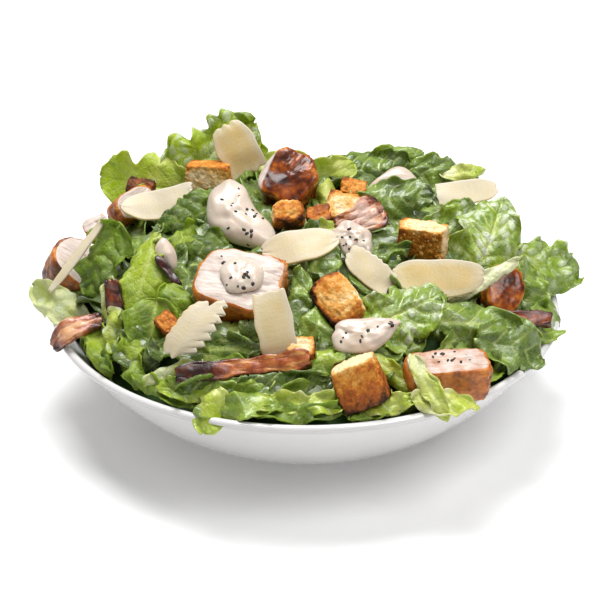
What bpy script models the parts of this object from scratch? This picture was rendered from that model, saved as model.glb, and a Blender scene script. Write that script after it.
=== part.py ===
# Chicken caesar salad heaped in a round white bowl.
# Lengths are metres. The bowl stands on z = 0, centred on the origin.
# The side the salad is served from faces -Y.
# Layout lengths below are millimetres, and heights there start at the rim.
import math
import random

import bmesh
import bpy
from mathutils import Matrix, Vector

MM = 0.001

# Bowl
RIM_RADIUS = 130 * MM
RIM_HEIGHT = 58 * MM
BASE_RADIUS = 52 * MM
WALL = 4.5 * MM
FLOOR = 5 * MM
WALL_POWER = 0.5
WALL_RINGS = 7
LIP_STEPS = 4
BOWL_STEPS = 40

# Heap of lettuce
HEAP_RADIUS = 126
HEAP_RISE = 34
HEAP_LEAN = 11
HEAP_POWER = 4
HEAP_EDGE = 124.2 * MM
CORE_GAP = 0.7 * MM
CORE_RINGS = 12
LEAF_THICK = 1.7 * MM
LEAF_WAVES = 8
LEAF_CUTS = (4, 2)

# Clearance between neighbours
GAP = 0.3 * MM

# Every piece has: at (x, y, height over the rim), face (compass angle and
# elevation of its upper side), spin (direction of its long axis on that side,
# 0 is to the right), and size (length, width, thickness).
CHICKEN = {
    "chicken_center": dict(at=(-30, -51, 28), face=(262, 62), spin=352, size=(46, 36, 26), torn=0.2),
    "chicken_left": dict(at=(-116, 5, 9), face=(322, 54), spin=292, size=(40, 28, 21), torn=0.3),
    "chicken_upper_left": dict(at=(-93, 48, 29), face=(318, 44), spin=6, size=(30, 16, 15), torn=0.1),
    "chicken_right_front": dict(at=(66, -98, 9), face=(270, 84), spin=4, size=(39, 20, 18), torn=0.05),
    "chicken_glazed": dict(at=(-8, 46, 44), face=(262, 50), spin=60, size=(32, 28, 22), torn=0.4),
    "chicken_right_dark": dict(at=(96, -33, 20), face=(290, 40), spin=60, size=(24, 20, 15), torn=0.2),
    "chicken_far_left": dict(at=(-110, 35, 23), face=(250, 60), spin=40, size=(15, 10, 9), torn=0.2),
}
CROUTONS = {
    "crouton_upper_left": dict(at=(-52, 62, 41), face=(86, 80), spin=177, size=(24, 16, 15)),
    "crouton_seeded": dict(at=(58, -14, 39), face=(262, 84), spin=3, size=(25, 11, 18)),
    "crouton_center": dict(at=(15, -67, 32), face=(250, 44), spin=318, size=(28, 20, 16)),
    "crouton_front": dict(at=(25, -108, 10.5), face=(262, 16), spin=25, size=(22, 23, 20)),
    "crouton_back": dict(at=(20, 20, 38), face=(262, 56), spin=350, size=(20, 17, 17)),
    "crouton_back_low": dict(at=(7, 14, 38), face=(262, 60), spin=20, size=(13, 11, 10)),
    "crouton_back_orange": dict(at=(25, 50, 38), face=(280, 60), spin=345, size=(14, 11, 9)),
    "crouton_charred": dict(at=(-9, 8, 42), face=(262, 58), spin=12, size=(17, 14, 14)),
    "crouton_low_left": dict(at=(-65, -66, 18), face=(255, 55), spin=325, size=(13, 9, 9)),
    "crouton_by_bacon": dict(at=(-2, -91, 18), face=(262, 60), spin=10, size=(13, 11, 11)),
    "crouton_hidden_left": dict(at=(-89, 66, 32), face=(265, 50), spin=350, size=(15, 10, 9)),
}
BACON = {
    "bacon_left": dict(at=(-113, -52, 9), face=(238, 48), spin=216, size=(28, 11, 3), wave=3.0, bend=-70),
    "bacon_left_upright": dict(at=(-93, -47, 21), face=(262, 20), spin=100,
                               size=(22, 8, 3), wave=1.5, bend=20),
    "bacon_dark": dict(at=(-67, -38, 33), face=(262, 50), spin=312, size=(19, 4, 3), wave=1.0, bend=15),
    "bacon_front": dict(at=(-29, -99, 14), face=(268, 38), spin=8, size=(62, 9, 4), wave=2.0, bend=10),
    "bacon_right": dict(at=(104, -47, 13), face=(282, 48), spin=350, size=(32, 7, 4), wave=1.0, bend=-15),
    "bacon_back": dict(at=(28, 5, 42), face=(268, 42), spin=35, size=(24, 17, 3), wave=1.2, bend=-35),
}
DRESSING = {
    "dressing_top": dict(at=(-33, 8, 42), face=(255, 58), spin=312, size=(46, 27, 13), bend=-8),
    "dressing_upper_right": dict(at=(49, 54, 37), face=(268, 50), spin=356, size=(31, 16, 12), bend=10),
    "dressing_middle": dict(at=(23, -23, 42), face=(262, 55), spin=318, size=(24, 17, 8), bend=4),
    "dressing_on_chicken": dict(at=(-31, -57, 40.5), face=(262, 62), spin=10, size=(22, 20, 6.5), bend=0),
    "dressing_low": dict(at=(28, -85, 25), face=(265, 50), spin=14, size=(34, 15, 7), bend=-4),
    "dressing_left": dict(at=(-69, -25, 36), face=(268, 30), spin=285, size=(17, 10, 7), bend=0),
}
PARMESAN = {
    "parmesan_left": dict(at=(-78, 33, 37), face=(262, 52), spin=10,
                          size=(38, 17), bend=30, tips=(0.05, 0.3), hook=7),
    "parmesan_top": dict(at=(-37, 66, 55), face=(262, 24), spin=294,
                         size=(29, 23), bend=-30, tips=(0.55, 0.8), arch=2.5),
    "parmesan_center": dict(at=(-3, -27, 44), face=(262, 55), spin=16,
                            size=(38, 18), bend=-38, tips=(0.2, 0.2), arch=-2),
    "parmesan_front_left": dict(at=(-52, -86, 27), face=(262, 40), spin=238,
                                size=(32, 19), bend=-25, tips=(0.5, 0.5)),
    "parmesan_front": dict(at=(-15, -88, 32), face=(268, 26), spin=282,
                           size=(31, 19), bend=-30, tips=(0.85, 0.95)),
    "parmesan_right": dict(at=(64, -46, 36), face=(272, 40), spin=358,
                           size=(44, 19), bend=-22, tips=(0.22, 0.28), arch=-2),
    "parmesan_upper_right": dict(at=(87, 64, 32), face=(272, 48), spin=6,
                                 size=(33, 14), bend=-20, tips=(0.9, 0.3), arch=-1),
    "parmesan_middle_right": dict(at=(31, -46, 38), face=(258, 48), spin=326,
                                  size=(28, 15), bend=-22, tips=(0.6, 0.7)),
    "parmesan_edge_left": dict(at=(-115, -12, 29), face=(262, 40), spin=239,
                               size=(44, 4.5), bend=12, tips=(0.5, 0.3)),
}
# Leaves also have a cup across the midrib, a bend along it and a wavy edge.
LEAVES = [
    dict(at=(-88, 74, 31), face=(264, 26), spin=172, size=(50, 42), cup=15, bend=-25, wave=2),
    dict(at=(-53, 84, 46), face=(266, 28), spin=38, size=(60, 52), cup=20, bend=-20, wave=4),
    dict(at=(-27, 85, 44), face=(280, 25), spin=105, size=(38, 15), cup=20, bend=-20, wave=1),
    dict(at=(12, 72, 37), face=(275, 45), spin=25, size=(32, 22), cup=20, bend=-20, wave=3),
    dict(at=(-55, 18, 38), face=(258, 48), spin=200, size=(46, 32), cup=-20, bend=-20, wave=4),
    dict(at=(-102, -13, 28), face=(242, 36), spin=262, size=(40, 28), cup=-25, bend=-20, wave=4),
    dict(at=(-80, -42, 28), face=(260, 48), spin=264, size=(60, 26), cup=-35, bend=-35, wave=2),
    dict(at=(-74, -64, 14), face=(262, 42), spin=268, size=(32, 30), cup=20, bend=-15, wave=3),
    dict(at=(-95, -52, 13), face=(242, 36), spin=285, size=(36, 15), cup=-40, bend=-20, wave=2),
    dict(at=(-83, -76, 6), face=(240, 50), spin=305, size=(32, 17), cup=-30, bend=-20, wave=3),
    dict(at=(-99, -63, 4), face=(232, 58), spin=320, size=(34, 15), cup=20, bend=-15, wave=3),
    dict(at=(-26, -103, 11), face=(270, 30), spin=4, size=(72, 22), cup=25, bend=-10, wave=5),
    dict(at=(12, -97, 16), face=(270, 42), spin=15, size=(28, 16), cup=-30, bend=-20, wave=3),
    dict(at=(-39, -106, 5), face=(266, 42), spin=356, size=(64, 16), cup=20, bend=-20, wave=3),
    dict(at=(-30, -119, 5), face=(264, 46), spin=188, size=(42, 15), cup=-20, bend=-25, wave=2),
    dict(at=(0, -115, 4), face=(270, 44), spin=2, size=(56, 13), cup=20, bend=-20, wave=3),
    dict(at=(56, -113, 12), face=(268, 36), spin=300, size=(36, 13), cup=-40, bend=-20, wave=1),
    dict(at=(64, -115, 5), face=(284, 62), spin=345, size=(32, 14), cup=-20, bend=-30, wave=1),
    dict(at=(41, -101, 12), face=(268, 48), spin=320, size=(28, 13), cup=-40, bend=-15, wave=1),
    dict(at=(43, -71, 26.5), face=(264, 52), spin=32, size=(50, 38), cup=-15, bend=-20, wave=3),
    dict(at=(76, -66, 20), face=(280, 42), spin=350, size=(50, 32), cup=-50, bend=-15, wave=3),
    dict(at=(98, -70, 9), face=(298, 46), spin=330, size=(36, 30), cup=20, bend=-20, wave=3),
    dict(at=(93, 0, 31), face=(284, 44), spin=62, size=(54, 42), cup=-20, bend=-25, wave=3),
    dict(at=(87, -40, 29.5), face=(276, 42), spin=28, size=(42, 10), cup=-30, bend=-20, wave=1),
    dict(at=(125, 4, 17), face=(310, 48), spin=320, size=(38, 32), cup=-15, bend=-30, wave=4),
    dict(at=(114, -26, 14), face=(302, 30), spin=268, size=(40, 20), cup=-30, bend=-20, wave=2),
    dict(at=(50, 92, 40), face=(272, 34), spin=8, size=(32, 18), cup=-30, bend=-30, wave=2),
    dict(at=(36, 82, 37), face=(270, 38), spin=4, size=(46, 26), cup=-20, bend=-25, wave=4),
    dict(at=(75, 78, 33), face=(282, 40), spin=340, size=(38, 30), cup=-20, bend=-25, wave=4),
    dict(at=(47, 27, 38), face=(266, 40), spin=18, size=(38, 30), cup=-35, bend=-30, wave=3),
    dict(at=(80, 16, 35), face=(276, 44), spin=16, size=(46, 26), cup=20, bend=-20, wave=4),
    dict(at=(5, -33, 36), face=(264, 48), spin=70, size=(32, 26), cup=-20, bend=-20, wave=3),
    dict(at=(-4, -60, 27), face=(270, 38), spin=265, size=(36, 16), cup=-25, bend=-20, wave=3),
    dict(at=(7, -82, 22), face=(270, 42), spin=282, size=(28, 24), cup=-30, bend=-20, wave=3),
    dict(at=(-126, 2, 6), face=(236, 46), spin=250, size=(32, 26), cup=-20, bend=-15, wave=2),
    dict(at=(-124, -23, 7), face=(244, 46), spin=340, size=(44, 22), cup=-25, bend=-20, wave=1),
    dict(at=(94, 54, 20), face=(36, 50), spin=80, size=(44, 36), cup=-20, bend=-30, wave=3),
    dict(at=(66, 98, 21), face=(62, 40), spin=100, size=(46, 36), cup=-20, bend=-30, wave=4),
    dict(at=(24, 108, 22), face=(82, 42), spin=75, size=(46, 36), cup=-20, bend=-30, wave=4),
    dict(at=(-20, 106, 20), face=(98, 46), spin=110, size=(46, 36), cup=-20, bend=-30, wave=4),
    dict(at=(-62, 100, 22), face=(118, 40), spin=84, size=(46, 36), cup=-20, bend=-30, wave=4),
    dict(at=(-100, 66, 18), face=(145, 40), spin=100, size=(44, 34), cup=-20, bend=-30, wave=4),
]

COLORS = {
    "bowl": ((0.85, 0.84, 0.82), 0.2),
    "lettuce": ((0.16, 0.32, 0.05), 0.45),
    "chicken": ((0.72, 0.52, 0.38), 0.5),
    "crouton": ((0.62, 0.30, 0.07), 0.7),
    "bacon": ((0.32, 0.08, 0.04), 0.4),
    "dressing": ((0.86, 0.78, 0.70), 0.3),
    "parmesan": ((0.88, 0.78, 0.55), 0.5),
}


def clear_scene():
    for obj in list(bpy.data.objects):
        bpy.data.objects.remove(obj, do_unlink=True)


def new_collection(name):
    collection = bpy.data.collections.new(name)
    bpy.context.scene.collection.children.link(collection)
    return collection


def color_of(name):
    # Principled material with the piece's own colour
    kind = name.split("_")[0]
    rgb, roughness = COLORS[kind]
    material = bpy.data.materials.new(name)
    material.use_nodes = True
    shader = material.node_tree.nodes["Principled BSDF"]
    shader.inputs["Base Color"].default_value = (*rgb, 1.0)
    shader.inputs["Roughness"].default_value = roughness
    shader.inputs["Metallic"].default_value = 0.0
    return material


def add_object(name, bm, collection):
    bmesh.ops.recalc_face_normals(bm, faces=bm.faces)
    mesh = bpy.data.meshes.new(name)
    bm.to_mesh(mesh)
    bm.free()
    obj = bpy.data.objects.new(name, mesh)
    obj.data.materials.append(color_of(name))
    collection.objects.link(obj)
    return obj


def placement(at, face, spin):
    # Matrix that lays a piece's upper side along face, turned by spin
    azimuth, elevation = (math.radians(a) for a in face)
    normal = Vector((math.cos(azimuth) * math.cos(elevation),
                     math.sin(azimuth) * math.cos(elevation),
                     math.sin(elevation)))
    right = Vector((-math.sin(azimuth), math.cos(azimuth), 0))
    up = normal.cross(right)
    along = right * math.cos(math.radians(spin)) + up * math.sin(math.radians(spin))
    across = normal.cross(along)
    matrix = Matrix((along, across, normal)).transposed().to_4x4()
    x, y, height = at
    matrix.translation = Vector((x * MM, y * MM, RIM_HEIGHT + height * MM))
    return matrix


def heap_height(x, y):
    # Height of the bare heap over the rim at a point, all in millimetres
    reach = min(math.hypot(x, y) / HEAP_RADIUS, 1)
    return HEAP_RISE * (1 - reach ** HEAP_POWER) + HEAP_LEAN * y / HEAP_RADIUS


def wall_radius(z):
    # Outer radius of the bowl at height z
    return BASE_RADIUS + (RIM_RADIUS - BASE_RADIUS) * max(z / RIM_HEIGHT, 0) ** WALL_POWER


def inner_radius(z):
    return wall_radius(z - FLOOR * (1 - z / RIM_HEIGHT)) - WALL


def wall_heights():
    # Rings lie closer together where the wall turns into the base
    return [RIM_HEIGHT * (k / WALL_RINGS) ** 1.8 for k in range(WALL_RINGS + 1)]


def make_bowl(collection):
    heights = wall_heights()
    lip = WALL / 2
    inside = [(0, FLOOR)]
    for z in heights[:-1]:
        z = FLOOR + z * (RIM_HEIGHT - lip - FLOOR) / RIM_HEIGHT
        inside.append((inner_radius(z), z))
    rim = []
    for k in range(LIP_STEPS + 1):
        a = math.pi * (1 - k / LIP_STEPS)
        rim.append((RIM_RADIUS - lip + lip * math.cos(a), RIM_HEIGHT - lip + lip * math.sin(a)))
    outside = [(wall_radius(z), z) for z in reversed(heights[:-1])]
    profile = inside + rim + outside + [(0, 0)]
    bm = bmesh.new()
    verts = [bm.verts.new((r, 0, z)) for r, z in profile]
    for a, b in zip(verts, verts[1:]):
        bm.edges.new((a, b))
    mesh = bpy.data.meshes.new("bowl")
    bm.to_mesh(mesh)
    bm.free()
    bowl = bpy.data.objects.new("bowl", mesh)
    bowl.data.materials.append(color_of("bowl"))
    collection.objects.link(bowl)
    screw = bowl.modifiers.new("turn", "SCREW")
    screw.angle = math.tau
    screw.steps = BOWL_STEPS
    screw.render_steps = BOWL_STEPS
    screw.use_merge_vertices = True
    screw.merge_threshold = 0.00001
    screw.use_smooth_shade = True
    return bowl


def make_core(collection):
    # Solid heart of the heap: fills the bowl and domes over the rim
    bm = bmesh.new()
    bmesh.ops.create_uvsphere(bm, u_segments=BOWL_STEPS, v_segments=CORE_RINGS, radius=1)
    edge_drop = 3.0
    wall_share = 0.7
    for v in bm.verts:
        reach = math.hypot(v.co.x, v.co.y)
        angle = math.atan2(v.co.y, v.co.x)
        if v.co.z > -0.001:
            radius = HEAP_EDGE * math.sin(min(reach, 1) * math.pi / 2) ** 1.1
            x = radius * math.cos(angle) / MM
            y = radius * math.sin(angle) / MM
            rim_share = (radius / HEAP_EDGE) ** 10
            height = heap_height(x, y) * (1 - rim_share) - edge_drop * rim_share
            z = RIM_HEIGHT + height * MM
        else:
            depth = math.asin(min(-v.co.z, 1)) / (math.pi / 2)
            top = RIM_HEIGHT - edge_drop * MM
            low = FLOOR + CORE_GAP
            if depth < wall_share:
                z = top - (top - low) * (depth / wall_share) ** 0.7
                radius = inner_radius(z) - CORE_GAP
            else:
                z = low
                radius = (inner_radius(low) - CORE_GAP) * (1 - depth) / (1 - wall_share)
        v.co = Vector((radius * math.cos(angle), radius * math.sin(angle), z))
    return add_object("lettuce", bm, collection)


def leaf_half_width(t):
    # Half-width of a leaf, as a share of its widest, from stalk (0) to tip (1)
    return 0.5 * (0.5 + 0.5 * math.sin(math.pi * t ** 0.9))


def make_leaf(name, leaf, index, collection):
    length, width = (s * MM for s in leaf["size"])
    bm = bmesh.new()
    bmesh.ops.create_grid(bm, x_segments=LEAF_CUTS[0], y_segments=LEAF_CUTS[1], size=0.5)
    bend = math.radians(leaf["bend"])
    cup = math.radians(leaf["cup"])
    for v in bm.verts:
        s = v.co.x
        side = v.co.y * 2
        half = width * leaf_half_width(s + 0.5)
        turn = bend * s
        center = Vector((length * s, 0, 0))
        if abs(bend) > 0.01:
            center = Vector((length * math.sin(turn) / bend, 0, length * (1 - math.cos(turn)) / bend))
        lift = Vector((-math.sin(turn), 0, math.cos(turn)))
        roll = cup * side
        flat = half * side * (1 - abs(roll) * 0.3)
        rise = half * abs(side) * math.sin(abs(cup) * 0.5) * (1 if cup > 0 else -1)
        ripple = leaf["wave"] * MM * abs(side) ** 2 * math.sin(LEAF_WAVES * s + 2.1 * index + 1.3 * side)
        v.co = center + Vector((0, flat, 0)) + lift * (rise + ripple)
    for face in bm.faces:
        face.smooth = True
    obj = add_object(name, bm, collection)
    obj.matrix_world = placement(leaf["at"], leaf["face"], leaf["spin"])
    solid = obj.modifiers.new("thickness", "SOLIDIFY")
    solid.thickness = LEAF_THICK
    solid.offset = 0
    return obj


def make_chicken(name, spec, seed, collection):
    # Thick slice: a rounded outline with one torn end and soft rims
    rng = random.Random(seed)
    length, width, thick = (s * MM for s in spec["size"])
    bm = bmesh.new()
    bmesh.ops.create_cone(bm, cap_ends=True, segments=12, radius1=1, radius2=1, depth=1)
    rims = [e for e in bm.edges if abs(e.verts[0].co.z - e.verts[1].co.z) < 0.1]
    bmesh.ops.bevel(bm, geom=rims, offset=0.16, offset_type="OFFSET", segments=1, affect="EDGES")
    wobble = [rng.uniform(0.93, 1.07) for _ in range(12)]
    for v in bm.verts:
        angle = math.atan2(v.co.y, v.co.x)
        reach = math.hypot(v.co.x, v.co.y)
        corner = (abs(math.cos(angle)) ** 2.8 + abs(math.sin(angle)) ** 2.8) ** (-1 / 2.8)
        radius = reach * corner * wobble[round(angle / math.tau * 12) % 12]
        if math.cos(angle) > 0.5:
            radius *= 1 - spec["torn"] * (0.35 + 0.3 * math.sin(5 * angle))
        taper = 1 - 0.08 * (0.5 - v.co.z)
        v.co.x = radius * math.cos(angle) * length / 2 * taper
        v.co.y = radius * math.sin(angle) * width / 2 * taper
        v.co.z *= thick * (1 + 0.06 * math.sin(3 * angle + seed))
    obj = add_object(name, bm, collection)
    obj.matrix_world = placement(spec["at"], spec["face"], spec["spin"])
    return obj


def make_crouton(name, spec, seed, collection):
    # Cube of bread with rounded edges, slightly out of square
    rng = random.Random(seed)
    big = spec["size"][0] > 20
    bm = bmesh.new()
    bmesh.ops.create_cube(bm, size=1)
    bmesh.ops.subdivide_edges(bm, edges=bm.edges, cuts=2 if big else 1, use_grid_fill=True)
    skew = (rng.uniform(-0.12, 0.12), rng.uniform(-0.12, 0.12))
    for v in bm.verts:
        out = v.co.length / 0.5
        v.co *= 1 - 0.17 * (out - 1)
        v.co.x *= 1 + skew[0] * v.co.y
        v.co.y *= 1 + skew[1] * v.co.z
        v.co += Vector([rng.uniform(-0.025, 0.025) for _ in range(3)])
        v.co = Vector([c * s * MM for c, s in zip(v.co, spec["size"])])
    obj = add_object(name, bm, collection)
    obj.matrix_world = placement(spec["at"], spec["face"], spec["spin"])
    return obj


def make_strip(name, spec, cuts, half_width, ripple, slide, thick, collection):
    # Thin piece made from a bent sheet: bacon and cheese
    length, width = (s * MM for s in spec["size"][:2])
    bend = math.radians(spec["bend"])
    bm = bmesh.new()
    bmesh.ops.create_grid(bm, x_segments=cuts[0], y_segments=cuts[1], size=0.5)
    for v in bm.verts:
        s = v.co.x
        side = v.co.y * 2
        turn = bend * s
        center = Vector((length * s, 0, 0))
        if abs(bend) > 0.01:
            center = Vector((length * math.sin(turn) / bend, 0, length * (1 - math.cos(turn)) / bend))
        lift = Vector((-math.sin(turn), 0, math.cos(turn)))
        v.co = center + Vector((0, width * half_width(s) * side + slide(s), 0)) + lift * ripple(s, side)
    obj = add_object(name, bm, collection)
    obj.matrix_world = placement(spec["at"], spec["face"], spec["spin"])
    solid = obj.modifiers.new("thickness", "SOLIDIFY")
    solid.thickness = thick
    solid.offset = 0
    return obj


def make_bacon(name, spec, seed, collection):
    wave = spec["wave"] * MM

    def half_width(s):
        return 0.5 * (1 + 0.12 * math.sin(8 * s + seed))

    def ripple(s, side):
        return wave * (0.5 * math.sin(7 * s + seed) + 0.25 * side * math.cos(6 * s + seed))

    def slide(s):
        return 0

    return make_strip(name, spec, (6, 2), half_width, ripple, slide, spec["size"][2] * MM, collection)


def make_parmesan(name, spec, seed, collection):
    def half_width(s):
        tip = spec["tips"][0 if s < 0 else 1]
        return 0.5 * (tip + (1 - tip) * max(1 - abs(2 * s) ** 2.2, 0) ** 0.6)

    def ripple(s, side):
        return 0.6 * MM * math.sin(5 * s + seed) * side

    def slide(s):
        hook = spec.get("hook", 0) * max(2 * s, 0) ** 2
        return (hook + spec.get("arch", 0) * (1 - 4 * s * s)) * MM

    return make_strip(name, spec, (6, 2), half_width, ripple, slide, 1.4 * MM, collection)


def make_dressing(name, spec, seed, collection):
    # Spooned cream: a domed, slightly bent blob
    length, width, thick = (s * MM for s in spec["size"])
    bm = bmesh.new()
    bmesh.ops.create_uvsphere(bm, u_segments=12, v_segments=6, radius=1)
    for v in bm.verts:
        x, y, z = v.co
        angle = math.atan2(y, x)
        spread = 1 + 0.1 * math.sin(2 * angle + seed) + 0.06 * math.sin(3 * angle + 2 * seed)
        height = z * thick * (0.62 if z > 0 else 0.38)
        v.co.x = x * spread * length / 2
        v.co.y = y * spread * width / 2 + spec["bend"] * MM * (0.5 - x * x)
        v.co.z = height
    obj = add_object(name, bm, collection)
    obj.matrix_world = placement(spec["at"], spec["face"], spec["spin"])
    return obj


def bake(obj):
    # Apply the modifiers and move the result to world space
    graph = bpy.context.evaluated_depsgraph_get()
    mesh = bpy.data.meshes.new_from_object(obj.evaluated_get(graph))
    mesh.transform(obj.matrix_world)
    obj.modifiers.clear()
    obj.data = mesh
    obj.matrix_world = Matrix.Identity(4)


def is_closed(mesh):
    bm = bmesh.new()
    bm.from_mesh(mesh)
    closed = len(bm.faces) > 3 and all(len(e.link_faces) == 2 for e in bm.edges)
    bm.free()
    return closed


def boolean(obj, operation, cutter=None, collection=None):
    # One Boolean, applied: EXACT first, MANIFOLD where that leaves the mesh open
    for solver in ("EXACT", "MANIFOLD"):
        mod = obj.modifiers.new("boolean", "BOOLEAN")
        mod.operation = operation
        mod.solver = solver
        if collection:
            mod.operand_type = "COLLECTION"
            mod.collection = collection
        else:
            mod.object = cutter
        graph = bpy.context.evaluated_depsgraph_get()
        mesh = bpy.data.meshes.new_from_object(obj.evaluated_get(graph))
        obj.modifiers.clear()
        if is_closed(mesh):
            obj.data = mesh
            return True
        bpy.data.meshes.remove(mesh)
    return False


def largest_island(obj):
    bm = bmesh.new()
    bm.from_mesh(obj.data)
    bm.faces.ensure_lookup_table()
    seen = set()
    islands = []
    for start in bm.faces:
        if start.index in seen:
            continue
        seen.add(start.index)
        island = [start]
        for face in island:
            for edge in face.edges:
                for other in edge.link_faces:
                    if other.index not in seen:
                        seen.add(other.index)
                        island.append(other)
        islands.append(island)
    volumes = []
    for island in islands:
        volume = 0
        for face in island:
            a = face.verts[0].co
            for b, c in zip(face.verts[1:], face.verts[2:]):
                volume += a.dot(b.co.cross(c.co)) / 6
        volumes.append(volume)
    keep = volumes.index(max(volumes))
    for k, island in enumerate(islands):
        if k != keep:
            bmesh.ops.delete(bm, geom=island, context="FACES")
    bmesh.ops.delete(bm, geom=[v for v in bm.verts if not v.link_faces], context="VERTS")
    bmesh.ops.triangulate(bm, faces=bm.faces)
    bm.to_mesh(obj.data)
    bm.free()


def bounds(obj):
    points = [v.co for v in obj.data.vertices]
    low = Vector([min(p[k] for p in points) for k in range(3)])
    high = Vector([max(p[k] for p in points) for k in range(3)])
    return low, high


def near(a, b):
    low_a, high_a = bounds(a)
    low_b, high_b = bounds(b)
    return all(low_a[k] < high_b[k] + GAP and low_b[k] < high_a[k] + GAP for k in range(3))


def grown(obj, collection):
    # Copy of a piece, larger all round by the gap
    bm = bmesh.new()
    bm.from_mesh(obj.data)
    bmesh.ops.remove_doubles(bm, verts=bm.verts, dist=0.00001)
    bm.normal_update()
    moves = [(v, v.normal * GAP * min(v.calc_shell_factor(), 2)) for v in bm.verts]
    for v, move in moves:
        v.co += move
    mesh = bpy.data.meshes.new(obj.name + "_cutter")
    bm.to_mesh(mesh)
    bm.free()
    cutter = bpy.data.objects.new(obj.name + "_cutter", mesh)
    cutter.hide_render = True
    cutter.display_type = "WIRE"
    collection.objects.link(cutter)
    return cutter


def cut_by(obj, others, cutters):
    # Trim a piece where its neighbours are, and keep its main part
    for other in others:
        if not near(obj, other):
            continue
        cutter = grown(other, cutters)
        boolean(obj, "DIFFERENCE", cutter=cutter)
        bpy.data.objects.remove(cutter, do_unlink=True)
    largest_island(obj)


def build():
    clear_scene()
    parts = new_collection("chicken_caesar_salad")
    cutters = new_collection("cutters")
    leaves = new_collection("leaves")

    bowl = make_bowl(parts)
    bake(bowl)
    placed = [bowl]
    kinds = ((CHICKEN, make_chicken), (CROUTONS, make_crouton), (BACON, make_bacon),
             (DRESSING, make_dressing), (PARMESAN, make_parmesan))
    for specs, make in kinds:
        for seed, (name, spec) in enumerate(specs.items()):
            piece = make(name, spec, seed + 1, parts)
            bake(piece)
            cut_by(piece, placed, cutters)
            placed.append(piece)

    lettuce = make_core(parts)
    for index, spec in enumerate(LEAVES):
        bake(make_leaf("lettuce_leaf_%02d" % index, spec, index, leaves))
    boolean(lettuce, "UNION", collection=leaves)
    for leaf in list(leaves.objects):
        bpy.data.objects.remove(leaf, do_unlink=True)
    largest_island(lettuce)
    cut_by(lettuce, placed, cutters)
    bpy.data.collections.remove(cutters)
    bpy.data.collections.remove(leaves)


build()
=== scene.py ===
# Looks of the chicken caesar salad in its white bowl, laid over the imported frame.
# Lengths in the dictionaries are millimetres, and heights there start at the bowl's rim.
import math
import random

import bmesh
import bpy
import numpy as np
from mathutils import Matrix, Vector, noise
from mathutils.bvhtree import BVHTree


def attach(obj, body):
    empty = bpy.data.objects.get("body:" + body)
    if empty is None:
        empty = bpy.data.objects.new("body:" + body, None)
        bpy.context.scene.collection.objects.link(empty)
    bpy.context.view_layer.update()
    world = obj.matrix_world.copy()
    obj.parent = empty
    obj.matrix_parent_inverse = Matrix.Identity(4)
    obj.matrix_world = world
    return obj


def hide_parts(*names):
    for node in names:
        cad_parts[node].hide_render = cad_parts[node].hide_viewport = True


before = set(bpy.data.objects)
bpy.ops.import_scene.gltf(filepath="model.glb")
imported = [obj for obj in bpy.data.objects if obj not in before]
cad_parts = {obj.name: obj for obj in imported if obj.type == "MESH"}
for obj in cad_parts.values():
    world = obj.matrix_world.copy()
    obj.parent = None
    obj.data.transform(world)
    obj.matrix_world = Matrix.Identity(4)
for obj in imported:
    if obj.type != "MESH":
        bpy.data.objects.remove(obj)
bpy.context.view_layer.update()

mm = 0.001
rimHeight = 58


# small helpers

def smooth(low, high, value):
    t = np.clip((value - low) / (high - low), 0, 1)
    return t * t * (3 - 2 * t)


def placeOn(spec):
    # matrix that lays a piece's upper side along its face, turned by spin
    azimuth, elevation = (math.radians(a) for a in spec["face"])
    normal = Vector((math.cos(azimuth) * math.cos(elevation),
                     math.sin(azimuth) * math.cos(elevation),
                     math.sin(elevation)))
    right = Vector((-math.sin(azimuth), math.cos(azimuth), 0))
    up = normal.cross(right)
    turn = math.radians(spec["spin"])
    along = right * math.cos(turn) + up * math.sin(turn)
    across = normal.cross(along)
    matrix = Matrix((along, across, normal)).transposed().to_4x4()
    x, y, height = spec["at"]
    matrix.translation = Vector((x, y, rimHeight + height)) * mm
    return matrix


def lay(at, face, spin, size, **looks):
    # where a piece lies, the azimuth and elevation its upper side faces, its turn and its size
    return dict(at=at, face=face, spin=spin, size=size, **looks)


resting = []
clearance = dict(share=0.96, below=0.6, above=2.5, gap=0.9)


def keepClear(spec, half, bend=0):
    # remember the room a topping takes, so that leaves lie under it
    matrix = np.array(placeOn(spec).inverted())
    length, width = spec["size"][:2]
    resting.append((matrix, length / 2, width / 2, half, math.radians(bend) * length))


def slipUnder(points):
    # points in world metres that fall inside a topping move to just below it
    for matrix, halfLong, halfWide, half, arc in resting:
        local = (points @ matrix[:3, :3].T + matrix[:3, 3]) / mm
        along = local[:, 0] / (halfLong * 2)
        height = local[:, 2] - arc * along ** 2 / 2
        inside = np.abs(local[:, 0]) < halfLong * clearance["share"]
        inside &= np.abs(local[:, 1]) < halfWide * clearance["share"]
        inside &= (height > -half - clearance["below"]) & (height < half + clearance["above"])
        if inside.any():
            local[inside, 2] += -half - clearance["gap"] - height[inside]
            world = np.linalg.inv(matrix)
            points[inside] = local[inside] * mm @ world[:3, :3].T + world[:3, 3]
    return points


wallRoom = dict(gap=0.8, below=0.5, past=4)


def stayInBowl(points):
    # points in world metres that fall in the bowl's wall move to its inner side
    x, y, z = points.T / mm
    depth = np.clip(z, 0, rimHeight)
    lowered = np.clip(depth - bowl["floor"] * (1 - depth / rimHeight), 0, rimHeight)
    spread = bowl["rimRadius"] - bowl["baseRadius"]
    outer = bowl["baseRadius"] + spread * np.sqrt(lowered / rimHeight)
    inner = outer - bowl["wall"] - wallRoom["gap"]
    radius = np.maximum(np.hypot(x, y), 0.001)
    caught = (z < rimHeight - wallRoom["below"]) & (radius > inner) & (radius < outer + wallRoom["past"])
    scale = np.where(caught, inner / radius, 1)
    points[:, 0] *= scale
    points[:, 1] *= scale
    return points


def toWorld(points, spec):
    # local millimetres to world metres
    matrix = np.array(placeOn(spec))
    return points * mm @ matrix[:3, :3].T + matrix[:3, 3]


def readPoints(verts):
    return np.array([v.co for v in verts])


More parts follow.
